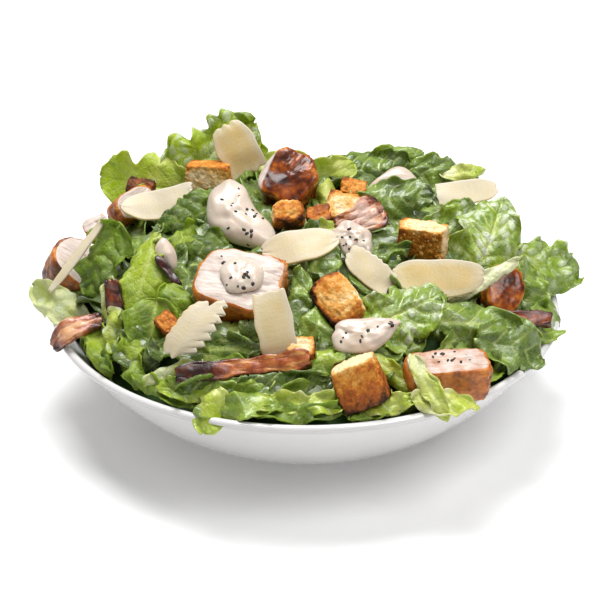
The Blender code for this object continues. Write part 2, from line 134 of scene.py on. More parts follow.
def writePoints(verts, points):
    for v, p in zip(verts, points):
        v.co = p


def newLayers(bm, names):
    for name in names:
        bm.verts.layers.float.new(name)
    bm.verts.layers.float_vector.new("grain")


def writeLayer(bm, verts, name, values):
    layer = bm.verts.layers.float[name]
    for v, value in zip(verts, values):
        v[layer] = float(value)


def writeGrain(bm, points):
    layer = bm.verts.layers.float_vector["grain"]
    for v, p in zip(bm.verts, points):
        v[layer] = p


def finishPiece(name, bm, material, nodes=(), thickness=0):
    # turn a bmesh into a piece that rides on the salad
    for face in bm.faces:
        face.smooth = True
    mesh = bpy.data.meshes.new(name)
    bm.to_mesh(mesh)
    bm.free()
    mesh.materials.append(material)
    piece = bpy.data.objects.new(name, mesh)
    bpy.context.scene.collection.objects.link(piece)
    if thickness:
        shell = piece.modifiers.new("thickness", "SOLIDIFY")
        shell.thickness = thickness * mm
        shell.offset = 0
    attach(piece, "root")
    if nodes:
        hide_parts(*nodes)
    return piece


def pieceName(node):
    words = node.split("_")
    return words[0] + "".join(w.capitalize() for w in words[1:])


def finishTopping(node, bm, spec, points, flat, layers, half, material, thickness=0):
    # write a topping's layers, its own coordinates and its place, and keep the leaves off it
    for name, values in layers.items():
        writeLayer(bm, bm.verts, name, values)
    writeGrain(bm, flat * mm)
    writePoints(bm.verts, toWorld(points, spec))
    keepClear(spec, half, spec.get("bend", 0) if thickness else 0)
    return finishPiece(pieceName(node), bm, material, [node], thickness)


def softNoise(x, y, size, seed):
    # gentle random hills about one size apart, from -1 to 1
    rng = random.Random(seed)
    total = np.zeros_like(x)
    for _ in range(7):
        angle = rng.uniform(0, math.tau)
        wave = math.tau / (size * rng.uniform(0.8, 1.7))
        total += np.sin((x * math.cos(angle) + y * math.sin(angle)) * wave + rng.uniform(0, math.tau))
    return total / 3.2


def cellLines(x, y, size, seed):
    # distance to the borders of random cells, for the net of veins;
    # the long numbers only scatter the cells' centers
    u, v = x / size, y / size
    near = np.full_like(x, 9.0)
    second = np.full_like(x, 9.0)
    for i in (-1, 0, 1):
        for j in (-1, 0, 1):
            cu, cv = np.floor(u) + i, np.floor(v) + j
            hashA = np.sin(cu * 127.1 + cv * 311.7 + seed) * 43758.5453
            hashB = np.sin(cu * 269.5 + cv * 183.3 + seed) * 24634.6345
            du = cu + 0.5 + (hashA - np.floor(hashA) - 0.5) * 0.85 - u
            dv = cv + 0.5 + (hashB - np.floor(hashB) - 0.5) * 0.85 - v
            d = np.sqrt(du * du + dv * dv)
            second = np.minimum(second, np.maximum(near, d))
            near = np.minimum(near, d)
    return (second - near) * size


def bentSpine(s, length, bend):
    # middle line of a piece bent by an angle, and the way its upper side faces along it
    turn, flat = bend * s, s * 0
    if abs(bend) > 0.01:
        center = np.stack([length * np.sin(turn) / bend, flat, length * (1 - np.cos(turn)) / bend], 1)
    else:
        center = np.stack([length * s, flat, flat], 1)
    return center, np.stack([-np.sin(turn), flat, np.cos(turn)], 1)


heap = dict(reach=126, height=34, backLift=11)


def heapHeight(x, y):
    # the heap over the rim: a dome that stands higher at the back
    reach = min(math.hypot(x, y) / heap["reach"], 1)
    return heap["height"] * (1 - reach ** 4) + heap["backLift"] * y / heap["reach"]


# shader helpers

def put(tree, kind, inputs=None, **settings):
    node = tree.nodes.new("ShaderNode" + kind)
    for key, value in settings.items():
        setattr(node, key, value)
    for socket, value in (inputs or {}).items():
        if isinstance(value, bpy.types.NodeSocket):
            tree.links.new(value, node.inputs[socket])
        else:
            node.inputs[socket].default_value = value
    return node


def math2(tree, operation, a, b):
    node = put(tree, "Math", {0: a, 1: b}, operation=operation)
    return node.outputs[0]


def blendColors(tree, factor, a, b, mode="MIX"):
    node = put(tree, "Mix", {0: factor, 6: a, 7: b}, data_type="RGBA", blend_type=mode)
    return node.outputs[2]


def rampColors(tree, factor, stops):
    node = put(tree, "ValToRGB", {0: factor})
    ramp = node.color_ramp
    ramp.elements[0].position = stops[0][0]
    ramp.elements[0].color = (*stops[0][1], 1)
    ramp.elements[1].position = stops[-1][0]
    ramp.elements[1].color = (*stops[-1][1], 1)
    for position, color in stops[1:-1]:
        ramp.elements.new(position).color = (*color, 1)
    return node.outputs[0]


def readLayer(tree, name, output="Fac"):
    return put(tree, "Attribute", attribute_name=name, attribute_type="GEOMETRY").outputs[output]


def newGroup(name, inputs, output):
    group = bpy.data.node_groups.new(name, "ShaderNodeTree")
    for label, kind, value in inputs:
        socket = group.interface.new_socket(label, in_out="INPUT", socket_type=kind)
        if value is not None:
            socket.default_value = value
    group.interface.new_socket(output, in_out="OUTPUT", socket_type="NodeSocketFloat")
    entry = group.nodes.new("NodeGroupInput")
    leave = group.nodes.new("NodeGroupOutput")
    return group, entry, leave


def makeMottle():
    # soft patches between a low and a high value
    group, entry, leave = newGroup("softMottle", [
        ("Vector", "NodeSocketVector", None),
        ("Scale", "NodeSocketFloat", 80.0),
        ("Low", "NodeSocketFloat", 0.0),
        ("High", "NodeSocketFloat", 1.0)], "Value")
    cloud = put(group, "TexNoise", {"Vector": entry.outputs["Vector"], "Scale": entry.outputs["Scale"],
                                    "Detail": 4.0, "Roughness": 0.55})
    spread = put(group, "MapRange", {"Value": cloud.outputs[0], "From Min": 0.32, "From Max": 0.68,
                                     "To Min": entry.outputs["Low"], "To Max": entry.outputs["High"]})
    group.links.new(spread.outputs[0], leave.inputs["Value"])
    return group


def makeGrain():
    # fine relief: small pits in a grainy surface
    group, entry, leave = newGroup("fineRelief", [
        ("Vector", "NodeSocketVector", None),
        ("Scale", "NodeSocketFloat", 500.0),
        ("Pits", "NodeSocketFloat", 0.5)], "Height")
    cloud = put(group, "TexNoise", {"Vector": entry.outputs["Vector"], "Scale": entry.outputs["Scale"],
                                    "Detail": 5.0, "Roughness": 0.6})
    cell = put(group, "TexVoronoi", {"Vector": entry.outputs["Vector"], "Scale": entry.outputs["Scale"]})
    holes = math2(group, "MULTIPLY", cell.outputs["Distance"], entry.outputs["Pits"])
    total = math2(group, "ADD", cloud.outputs[0], holes)
    group.links.new(total, leave.inputs["Height"])
    return group


mottleGroup = makeMottle()
grainGroup = makeGrain()


def mottle(tree, vector, scale, low, high):
    inputs = {"Vector": vector, "Scale": scale, "Low": low, "High": high}
    return put(tree, "Group", inputs, node_tree=mottleGroup).outputs[0]


def grain(tree, vector, scale, pits):
    inputs = {"Vector": vector, "Scale": scale, "Pits": pits}
    return put(tree, "Group", inputs, node_tree=grainGroup).outputs[0]


def newMaterial(name):
    material = bpy.data.materials.new(name)
    material.use_nodes = True
    tree = material.node_tree
    tree.nodes.clear()
    return material, tree, put(tree, "TexCoord").outputs["Object"]


def bump(tree, height, strength, distance):
    node = put(tree, "Bump", {"Strength": strength, "Distance": distance, "Height": height})
    return node.outputs[0]


def principled(tree, color, roughness, normal, **constants):
    shader = put(tree, "BsdfPrincipled", {"Base Color": color, "Roughness": roughness, "Normal": normal})
    for label, value in constants.items():
        shader.inputs[label.replace("_", " ")].default_value = value
    return shader.outputs[0]


def endMaterial(tree, shader):
    put(tree, "OutputMaterial", {"Surface": shader})


def plainMaterial(name, patch, dark, light, rough, relief, **constants):
    # one stuff of two close colours: patch is their scale, rough a scale with a low and a high value,
    # relief a scale, pits, strength and distance
    material, tree, place = newMaterial(name)
    color = rampColors(tree, mottle(tree, place, patch, 0, 1), [(0, dark), (1, light)])
    scale, pits, strength, distance = relief
    normal = bump(tree, grain(tree, place, scale, pits), strength, distance)
    endMaterial(tree, principled(tree, color, mottle(tree, place, *rough), normal, **constants))
    return material


# camera as in the picture

camera = dict(distance=900, elevation=27, lens=104.76, sensor=36, shiftX=-0.01, shiftY=-0.005)


def makeCamera():
    lens = bpy.data.cameras.new("servingView")
    lens.sensor_width = camera["sensor"]
    lens.lens = camera["lens"]
    lens.shift_x = camera["shiftX"]
    lens.shift_y = camera["shiftY"]
    holder = bpy.data.objects.new("servingView", lens)
    bpy.context.scene.collection.objects.link(holder)
    tilt = math.radians(camera["elevation"])
    away = Vector((0, -math.cos(tilt), math.sin(tilt))) * camera["distance"] * mm
    holder.location = Vector((0, 0, rimHeight * mm)) + away
    holder.rotation_euler = (math.pi / 2 - tilt, 0, 0)
    bpy.context.scene.camera = holder


makeCamera()
print("camera placed")


# light and floor

studio = dict(
    world=0.24, floorGlow=0.13, floorSize=4, aim=(0, 0, 60),
    lamps=[dict(name="overhead", at=(-160, 330, 1430), size=760, power=24),
           dict(name="rightFront", at=(560, -480, 1150), size=600, power=8)])


def makeStudio():
    scene = bpy.context.scene
    scene.view_settings.view_transform = "Standard"
    world = bpy.data.worlds.new("studio")
    world.use_nodes = True
    backdrop = world.node_tree.nodes["Background"]
    backdrop.inputs[0].default_value = (1, 1, 1, 1)
    backdrop.inputs[1].default_value = studio["world"]
    scene.world = world
    for spec in studio["lamps"]:
        lamp = bpy.data.lights.new(spec["name"], "AREA")
        lamp.shape = "SQUARE"
        lamp.size = spec["size"] * mm
        lamp.energy = spec["power"]
        holder = bpy.data.objects.new(spec["name"], lamp)
        holder.location = Vector(spec["at"]) * mm
        aim = Vector(studio["aim"]) * mm - holder.location
        holder.rotation_euler = aim.to_track_quat("-Z", "Y").to_euler()
        scene.collection.objects.link(holder)

    bm = bmesh.new()
    bmesh.ops.create_grid(bm, x_segments=1, y_segments=1, size=studio["floorSize"])
    mesh = bpy.data.meshes.new("studioFloor")
    bm.to_mesh(mesh)
    bm.free()
    mesh.materials.append(plainMaterial(
        "paleFloor", 3, (0.88, 0.88, 0.88), (0.92, 0.92, 0.92), (5, 0.55, 0.65), (60, 0, 0.02, 0.001),
        Emission_Color=(1, 1, 1, 1), Emission_Strength=studio["floorGlow"]))
    floor = bpy.data.objects.new("studioFloor", mesh)
    scene.collection.objects.link(floor)


makeStudio()
print("light and floor set")


# bowl

bowl = dict(rimRadius=130, baseRadius=52, wall=4.5, floor=5, foot=(48.5, 46.5, 1.0), steps=160, rings=34,
            lipSteps=12)


def makeBowl():
    reach, base, wall, floor = (bowl[k] for k in ("rimRadius", "baseRadius", "wall", "floor"))
    rings = bowl["rings"]

    def outer(z):
        return base + (reach - base) * math.sqrt(max(z, 0) / rimHeight)

    def inner(z):
        return outer(z - floor * (1 - z / rimHeight)) - wall

    lip = wall / 2
    # the profile runs up the inner side, round the lip, down the outer side and across the foot
    profile = [(0, floor)]
    for k in range(rings):
        z = floor + (rimHeight - lip - floor) * (k / rings) ** 2
        profile.append((inner(z), z))
    for k in range(bowl["lipSteps"] + 1):
        a = math.pi * (1 - k / bowl["lipSteps"])
        profile.append((reach - lip + lip * math.cos(a), rimHeight - lip + lip * math.sin(a)))
    for k in reversed(range(rings)):
        z = rimHeight * (k / rings) ** 2
        if z < rimHeight - lip:
            profile.append((outer(z), z))
    ring, inside, depth = bowl["foot"]
    profile += [(ring, 0), (inside, depth), (0, depth)]
    bm = bmesh.new()
    verts = [bm.verts.new((r * mm, 0, z * mm)) for r, z in profile]
    edges = [bm.edges.new(pair) for pair in zip(verts, verts[1:])]
    bmesh.ops.spin(bm, geom=verts + edges, cent=(0, 0, 0), axis=(0, 0, 1), angle=math.tau,
                   steps=bowl["steps"], use_merge=True)
    bmesh.ops.remove_doubles(bm, verts=bm.verts, dist=0.00002)
    bmesh.ops.recalc_face_normals(bm, faces=bm.faces)
    glaze = plainMaterial("whiteGlaze", 14, (0.675, 0.66, 0.655), (0.725, 0.71, 0.705), (40, 0.12, 0.2),
                          (35, 0.2, 0.04, 0.001), Coat_Weight=0.4, Coat_Roughness=0.08)
    finishPiece("servingBowl", bm, glaze, ["bowl"])


makeBowl()
print("bowl turned")


# chicken

chickenDefaults = dict(torn=0.1, char=0.1, tan=0, square=2.8, lumps=0.55, pale=None, glazed=False,
                       flecks=())
chicken = {
    "chicken_center": lay((-30, -51, 28), (262, 62), 352, (46, 36, 26), torn=0.2, flecks=[(-0.55, 0.54),
        (-0.45, 0.36), (-0.19, 0.4), (0.35, 0.38)]),
    "chicken_left": lay((-116, 5, 9), (322, 54), 292, (40, 28, 21), torn=0.3, char=0.5),
    "chicken_upper_left": lay((-93, 48, 29), (318, 44), 6, (30, 16, 15)),
    "chicken_right_front": lay((66, -98, 9), (270, 84), 4, (41, 20, 18), torn=0.05, char=0.15, square=6,
        tan=0.46, flecks=[(0.1, 0.84), (0.16, 0.6), (0.41, 0.33), (0.46, 0.02), (-0.04, -0.07),
        (-0.24, -0.12), (0.09, -0.01), (0.24, -0.26), (-0.28, 0.58), (-0.41, 0.9), (-0.35, 0.28),
        (-0.12, 0.48), (0.05, -0.1), (0.12, 0.08)]),
    "chicken_glazed": lay((-8, 46, 44), (262, 50), 60, (32, 28, 22), torn=0.2, char=0.6, pale=110,
        glazed=True, lumps=0.3),
    "chicken_right_dark": lay((96, -33, 20), (290, 40), 60, (24, 20, 15), char=0.3, glazed=True,
        lumps=0.25),
    "chicken_far_left": lay((-110, 35, 23), (250, 60), 40, (15, 10, 9), torn=0.2, char=0.0),
}


def chickenMaterial(name, glazed):
    material, tree, _ = newMaterial(name)
    local = readLayer(tree, "grain", "Vector")
    stretch = put(tree, "Mapping", {"Vector": local, "Scale": (0.16, 1.0, 0.6)}).outputs[0]
    cloud = put(tree, "TexNoise", {"Vector": stretch, "Scale": 700.0, "Detail": 5.0, "Roughness": 0.6})
    fibre = cloud.outputs[0]
    meat = rampColors(tree, fibre, [(0.26, (0.42, 0.26, 0.20)), (0.42, (0.57, 0.46, 0.39)),
                                    (0.62, (0.67, 0.58, 0.52))])
    patch = mottle(tree, local, 140, -0.25, 0.25)
    speck = mottle(tree, local, 520, -0.12, 0.12)
    # the char layer darkens the skin: real char plus painted shade towards the bottom
    burn = math2(tree, "ADD", math2(tree, "ADD", readLayer(tree, "char"), patch), speck)
    if glazed:
        stops = [(0.0, (0.55, 0.18, 0.02)), (0.3, (0.29, 0.062, 0.008)), (0.6, (0.09, 0.018, 0.005)),
                 (0.95, (0.02, 0.006, 0.004))]
    else:
        stops = [(0.0, (0.65, 0.24, 0.022)), (0.3, (0.49, 0.135, 0.009)), (0.6, (0.20, 0.056, 0.012)),
                 (0.95, (0.045, 0.014, 0.006))]
    skin = rampColors(tree, burn, stops)
    brown = math2(tree, "ADD", readLayer(tree, "brown"), math2(tree, "MULTIPLY", patch, 0.5))
    share = put(tree, "MapRange", {"Value": brown, "From Min": 0.35, "From Max": 0.65}).outputs[0]
    color = blendColors(tree, share, meat, skin)
    height = math2(tree, "ADD", fibre, math2(tree, "MULTIPLY", grain(tree, local, 420, 0.8), share))
    normal = bump(tree, height, 0.05 if glazed else 0.5, 0.0009)
    rough = mottle(tree, local, 260, *((0.15, 0.3) if glazed else (0.35, 0.55)))
    shader = principled(tree, color, rough, normal, Coat_Weight=0.05 if glazed else 0.1,
                        Coat_Roughness=0.22, Subsurface_Weight=0.08, Subsurface_Scale=0.004,
                        Specular_IOR_Level=0.3 if glazed else 0.5)
    endMaterial(tree, shader)
    return material


def gridBlock(cuts):
    bm = bmesh.new()
    bmesh.ops.create_cube(bm, size=2)
    bmesh.ops.subdivide_edges(bm, edges=bm.edges, cuts=cuts, use_grid_fill=True)
    return bm


def makeChicken(node, spec, seed, material):
    length, width, thick = spec["size"]
    rng = random.Random(seed)
    lobes = 12
    wobble = [rng.uniform(0.93, 1.07) for _ in range(lobes)]
    bm = gridBlock(30 if length > 25 else 18)
    newLayers(bm, ["brown", "char"])
    points, browns, charAndShadeValues = [], [], []
    for v in bm.verts:
        x, y, z = v.co
        reach = max(abs(x), abs(y))
        angle = math.atan2(y, x) % math.tau
        fit = (reach ** 9 + abs(z) ** 9) ** (-1 / 9) * max(reach, abs(z))
        spot = angle / math.tau * lobes
        k = int(spot) % lobes
        part = smooth(0, 1, spot - int(spot))
        wide = wobble[k] * (1 - part) + wobble[(k + 1) % lobes] * part
        power = spec["square"]
        corner = (abs(math.cos(angle)) ** power + abs(math.sin(angle)) ** power) ** (-1 / power)
        radius = reach * fit * corner * wide
        end = float(smooth(0.35, 0.7, math.cos(angle)))
        radius *= 1 - end * spec["torn"] * (0.35 + 0.3 * math.sin(5 * angle))
        radius *= 1 - 0.04 * (1 - z)
        swell = 1 + 0.06 * reach * math.sin(3 * angle + seed)
        p = Vector((radius * math.cos(angle) * length / 2, radius * math.sin(angle) * width / 2,
                    z * fit * thick / 2 * swell))
        out = Vector((p.x / length, p.y / width, p.z / thick)).normalized()
        rough = noise.fractal(p / 5 + Vector((seed * 9, 0, 0)), 0.9, 2.0, 4)
        shred = noise.fractal(Vector((p.x / 6, p.y / 1.6, p.z / 1.8)) + Vector((seed, 0, 0)), 0.8, 2.0, 3)
        p += out * spec["lumps"] * (rough + end * (0.6 + 2 * spec["torn"]) * 2.2 * shred)
        top = float(smooth(0.75, 0.97, z) * (1 - smooth(0.9, 1.0, reach)))
        brown = 1
        if not spec["glazed"]:
            # tan keeps some skin colour on the top: partly real tan, partly painted shade darkening the top
            brown -= top * (1 - spec["tan"])
            brown *= 1 - 1.8 * end * spec["torn"] * float(smooth(-0.6, 0.4, z))
        elif spec["pale"] is not None:
            away = math.cos(angle - math.radians(spec["pale"]))
            brown -= float(smooth(0.55, 0.9, away * reach)) * float(smooth(-0.6, 0.6, z))
        patch = noise.fractal(p / 7 + Vector((0, seed * 5, 0)), 1.0, 2.0, 2)
        # real char in patches, plus painted shade: darker towards the bottom
        char = 0.18 + spec["char"] * (0.45 + 0.9 * patch) + 0.22 * (1 - z) / 2
        if spec["glazed"]:
            char += 0.25 * (1 - reach) - 0.25 * float(smooth(0.8, 1, reach))
        points.append(p)
        browns.append(brown)
        charAndShadeValues.append(char)
    points = np.array(points)
    layers = dict(brown=browns, char=charAndShadeValues)
    return finishTopping(node, bm, spec, points, points, layers, thick / 2, material)


roastChicken = chickenMaterial("roastChicken", False)
glazedChicken = chickenMaterial("glazedChicken", True)
peppered = []
for seed, (node, given) in enumerate(chicken.items()):
    spec = dict(chickenDefaults, **given)
    piece = makeChicken(node, spec, seed + 1, glazedChicken if spec["glazed"] else roastChicken)
    peppered.append((piece, spec))
print("chicken sliced")


# croutons: toast gives how brown the top, front, right, left, back and bottom are; down makes a crouton
# darker towards its local bottom, partly painted shade

croutonDefaults = dict(pull=0.15, vary=0.16, down=0)
croutons = {
    "crouton_upper_left": lay((-52, 62, 41), (86, 80), 177, (24, 16, 15),
        toast=(0.46, 0.08, 0.3, 0.2, 0.4, 0.4)),
    "crouton_seeded": lay((58, -14, 39), (262, 84), 351, (25, 11, 18),
        toast=(0.02, 0.46, 0.0, 0.6, 0.6, 0.8)),
    "crouton_center": lay((15, -67, 32), (250, 44), 318, (28, 20, 16),
        toast=(0.3, 0.95, 0.5, 0.95, 0.1, 1.0), pull=0.4, vary=0.24),
    "crouton_front": lay((25, -108, 10.5), (262, 16), 25, (22, 23, 20),
        toast=(0.56, 0.68, 0.6, 0.55, 0.0, 0.6), down=0.45),
    "crouton_back": lay((20, 20, 38), (262, 56), 350, (20, 17, 17),
        toast=(0.14, 0.46, 0.5, 0.64, 0.45, 0.7), vary=0.28),
    "crouton_back_low": lay((7, 14, 38), (262, 60), 20, (13, 11, 10),
        toast=(0.6, 0.7, 0.6, 0.7, 0.5, 0.7)),
    "crouton_back_orange": lay((25, 50, 38), (280, 60), 345, (14, 11, 9),
        toast=(0.42, 0.45, 0.4, 0.5, 0.5, 0.5)),
    "crouton_charred": lay((-9, 8, 42), (262, 58), 12, (17, 14, 14),
        toast=(0.42, 0.66, 0.5, 0.12, 0.4, 0.9), pull=0.36, vary=0.45, down=0.5),
    "crouton_low_left": lay((-65, -66, 18), (255, 55), 325, (13, 9, 9),
        toast=(0.45, 0.6, 0.6, 0.6, 0.6, 0.8)),
    "crouton_by_bacon": lay((-2, -91, 18), (262, 60), 10, (13, 11, 11),
        toast=(0.05, 0.55, 0.6, 0.3, 0.5, 0.6)),
    "crouton_hidden_left": lay((-89, 66, 32), (265, 50), 350, (15, 10, 9),
        toast=(0.85, 0.9, 0.8, 0.8, 0.8, 0.8)),
}
sesame = dict(count=34, length=3.0, width=2.3, thick=0.8, seed=15)


def croutonMaterial():
    material, tree, _ = newMaterial("toastedBread")
    local = readLayer(tree, "grain", "Vector")
    patch = mottle(tree, local, 150, -0.1, 0.12)
    speck = mottle(tree, local, 900, -0.09, 0.1)
    toast = math2(tree, "ADD", math2(tree, "ADD", readLayer(tree, "toast"), patch), speck)
    color = rampColors(tree, toast, [
        (0.0, (0.90, 0.70, 0.42)), (0.2, (0.76, 0.43, 0.12)), (0.42, (0.60, 0.225, 0.022)),
        (0.62, (0.41, 0.102, 0.012)), (0.82, (0.18, 0.055, 0.012)), (1.0, (0.04, 0.014, 0.006))])
    normal = bump(tree, grain(tree, local, 620, 1.0), 0.45, 0.0009)
    rough = mottle(tree, local, 300, 0.5, 0.8)
    endMaterial(tree, principled(tree, color, rough, normal, Specular_IOR_Level=0.3))
    return material


def makeCrouton(node, spec, seed, material):
    rng = random.Random(seed)
    size = spec["size"]
    bm = gridBlock(26 if size[0] > 20 else 16)
    newLayers(bm, ["toast"])
    skew = (rng.uniform(-0.12, 0.12), rng.uniform(-0.12, 0.12))
    top, front, right, left, back, bottom = spec["toast"]
    points, toastAndShadeValues = [], []
    for v in bm.verts:
        p = v.co / 2
        out = p.length / 0.5
        weights = [max(c, 0) ** 6 for c in (p.z, -p.y, p.x, -p.x, p.y, -p.z)]
        toast = sum(w * k for w, k in zip(weights, (top, front, right, left, back, bottom))) / sum(weights)
        crease = float(smooth(1.32, 1.62, out))
        # cube pulled in at its corners, slightly out of square
        p *= 1 - spec["pull"] * (out - 1)
        p.x *= 1 + skew[0] * p.y
        p.y *= 1 + skew[1] * p.z
        p = Vector([c * s for c, s in zip(p, size)])
        direction = Vector((p.x / size[0], p.y / size[1], p.z / size[2])).normalized()
        lump = noise.fractal(p / 6 + Vector((seed * 3, 0, 0)), 1.0, 2.0, 3)
        crumb = noise.fractal(p / 1.9 + Vector((0, seed * 3, 0)), 0.7, 2.2, 3)
        pit = max(noise.noise(p / 2.4 + Vector((0, 0, seed * 4))) - 0.12, 0)
        p += direction * (0.7 * lump + 0.3 * crumb - 2.2 * pit)
        points.append(p)
        # down: darker towards the local bottom, partly painted shade
        toast += 0.2 * crease + spec["vary"] * lump - 0.12 * crumb - spec["down"] * p.y / size[1]
        toastAndShadeValues.append(toast)
    points = np.array(points)
    layers = dict(toast=toastAndShadeValues)
    return finishTopping(node, bm, spec, points, points, layers, size[2] / 2, material)


toastedBread = croutonMaterial()
for seed, (node, given) in enumerate(croutons.items()):
    makeCrouton(node, dict(croutonDefaults, **given), seed + 1, toastedBread)


def makeSesame():
    # seeds pressed into the dark crust of one crouton
    rng = random.Random(sesame["seed"])
    spec = croutons["crouton_seeded"]
    length, width, thick = spec["size"]
    world = placeOn(spec)
    bm = bmesh.new()
    for _ in range(sesame["count"]):
        u, w = rng.uniform(-0.4, 0.42), rng.uniform(-0.38, 0.4)
        made = bmesh.ops.create_icosphere(bm, subdivisions=1, radius=1)
        turn = Matrix.Rotation(rng.uniform(0, math.tau), 4, "Y")
        grow = 0.45 + 0.8 * rng.random() ** 2
        halfLong, halfWide = sesame["length"] / 2 * grow, sesame["width"] / 2 * grow
        shape = Matrix.Diagonal((halfLong, sesame["thick"] / 2, halfWide, 1))
        spot = Matrix.Translation((u * length, -width / 2 * 0.97, w * thick))
        bmesh.ops.transform(bm, verts=made["verts"],
                            matrix=world @ Matrix.Scale(mm, 4) @ spot @ turn @ shape)
    husk = plainMaterial("toastedSesame", 500, (0.62, 0.24, 0.03), (0.88, 0.50, 0.14), (700, 0.35, 0.5),
                         (1500, 0.2, 0.3, 0.0003))
    finishPiece("sesameSeeds", bm, husk)


makeSesame()
print("croutons toasted")


# bacon

baconDefaults = dict(dark=0, ends=0, pink=0)
bacon = {
    "bacon_left": lay((-113, -52, 9), (238, 48), 226, (29, 10, 3), wave=2.4, bend=-50, burnt=0.08,
        fat=0.5, ends=0.7, pink=0.5),
    "bacon_left_upright": lay((-93, -47, 21), (262, 20), 100, (22, 8, 3), wave=1.5, bend=20, burnt=0.7,
        fat=0.2),
    "bacon_dark": lay((-67, -38, 33), (262, 50), 312, (19, 4, 3), wave=1.0, bend=15, burnt=0.95, fat=0),
    "bacon_front": lay((-29, -99, 14), (268, 38), 8, (62, 9, 4), wave=2.0, bend=10, burnt=0.22, fat=0.3,
        dark=-1),
    "bacon_right": lay((104, -47, 13), (282, 48), 350, (32, 7, 4), wave=1.0, bend=-15, burnt=0.56, fat=0),
    "bacon_back": lay((28, 5, 42), (268, 42), 35, (24, 17, 3), wave=1.2, bend=-35, burnt=0.04, fat=0.5,
        ends=0.55, pink=1.3),
}


def baconMaterial():
    material, tree, _ = newMaterial("friedBacon")
    local = readLayer(tree, "grain", "Vector")
    stretch = put(tree, "Mapping", {"Vector": local, "Scale": (0.3, 1.0, 1.0)}).outputs[0]
    streak = mottle(tree, stretch, 420, -0.3, 0.3)
    burn = math2(tree, "ADD", readLayer(tree, "burnt"), mottle(tree, local, 320, -0.22, 0.22))
    lean = rampColors(tree, burn, [(0.0, (0.52, 0.16, 0.04)), (0.35, (0.34, 0.075, 0.018)),
                                   (0.7, (0.12, 0.022, 0.010)), (1.0, (0.030, 0.009, 0.007))])
    fatty = rampColors(tree, burn, [(0.0, (0.74, 0.40, 0.15)), (0.4, (0.57, 0.21, 0.045)),
                                    (0.8, (0.22, 0.06, 0.02)), (1.0, (0.07, 0.02, 0.01))])
    fat = math2(tree, "ADD", readLayer(tree, "fat"), streak)
    share = put(tree, "MapRange", {"Value": fat, "From Min": 0.4, "From Max": 0.62}).outputs[0]
    color = blendColors(tree, share, lean, fatty)
    marbled = math2(tree, "ADD", math2(tree, "SUBTRACT", 0.6, burn), math2(tree, "MULTIPLY", streak, 1.4))
    rosy = math2(tree, "MULTIPLY", readLayer(tree, "pink"), marbled)
    color = blendColors(tree, rosy, color, (0.80, 0.56, 0.48, 1))
    normal = bump(tree, math2(tree, "ADD", grain(tree, local, 500, 0.5), streak), 0.5, 0.0006)
    rough = mottle(tree, local, 300, 0.2, 0.42)
    endMaterial(tree, principled(tree, color, rough, normal, Coat_Weight=0.25, Coat_Roughness=0.22))
    return material


stripCell = 0.7
stripGap = 0.3


def makeStrip(node, spec, fewest, thickness, shape, layers, material):
    # thin bent piece: shape returns half-width, ripple, shifts along and across, and the layer values
    length, width = spec["size"][:2]
    bm = bmesh.new()
    newLayers(bm, layers)
    columns, rows = (max(int(side / stripCell), least) for side, least in zip((length, width), fewest))
    bmesh.ops.create_grid(bm, x_segments=columns, y_segments=rows, size=0.5)
    bm.verts.ensure_lookup_table()
    flatPoints = readPoints(bm.verts)
    s, side = flatPoints[:, 0], flatPoints[:, 1] * 2
    center, lift = bentSpine(s, length, math.radians(spec["bend"]))
    half, ripple, stretch, slide, values = shape(s, side, length, width)
    points = center + np.stack([stretch, width * half * side + slide, s * 0], 1) + lift * ripple[:, None]
    flat = np.stack([length * s, width * side / 2, s * 0], 1)
    half = thickness / 2 + stripGap
    return finishTopping(node, bm, spec, points, flat, values, half, material, thickness)


def makeBacon(node, spec, seed, material):
    def shape(s, side, length, width):
        bank = np.sign(side) * 30
        half = 0.5 * (1 + 0.12 * np.sin(8 * s + seed)) * (1 + 0.12 * softNoise(length * s, bank, 9, seed))
        half *= 1 - 0.35 * np.abs(2 * s) ** 10
        wave = spec["wave"]
        ripple = wave * (0.5 * np.sin(7 * s + seed) + 0.25 * side * np.cos(6 * s + seed))
        ripple += 0.5 * softNoise(length * s * 0.5, width * side / 2, 4, seed + 20)
        band = softNoise(length * s * 0.25, width * side / 2, 4.5, seed + 30)
        burnt = spec["burnt"] + 0.25 * np.abs(side) ** 3
        burnt += 0.12 * softNoise(length * s, side * 4, 8, seed + 40)
        if spec["dark"]:
            burnt += 0.75 * smooth(0.05, 0.3, s * spec["dark"])
        burnt += spec["ends"] * smooth(0.3, 0.85, np.abs(2 * s))
        fat = spec["fat"] + 0.35 * band
        stretch = 0.6 * softNoise(width * side / 2, s * 0, 3, seed + 50) * np.abs(2 * s) ** 3
        return half, ripple, stretch, s * 0, dict(burnt=burnt, fat=fat, pink=s * 0 + spec["pink"])

    layers = ["burnt", "fat", "pink"]
    return makeStrip(node, spec, (12, 8), spec["size"][2], shape, layers, material)


friedBacon = baconMaterial()
for seed, (node, given) in enumerate(bacon.items()):
    makeBacon(node, dict(baconDefaults, **given), seed + 1, friedBacon)
print("bacon fried")


# parmesan shavings

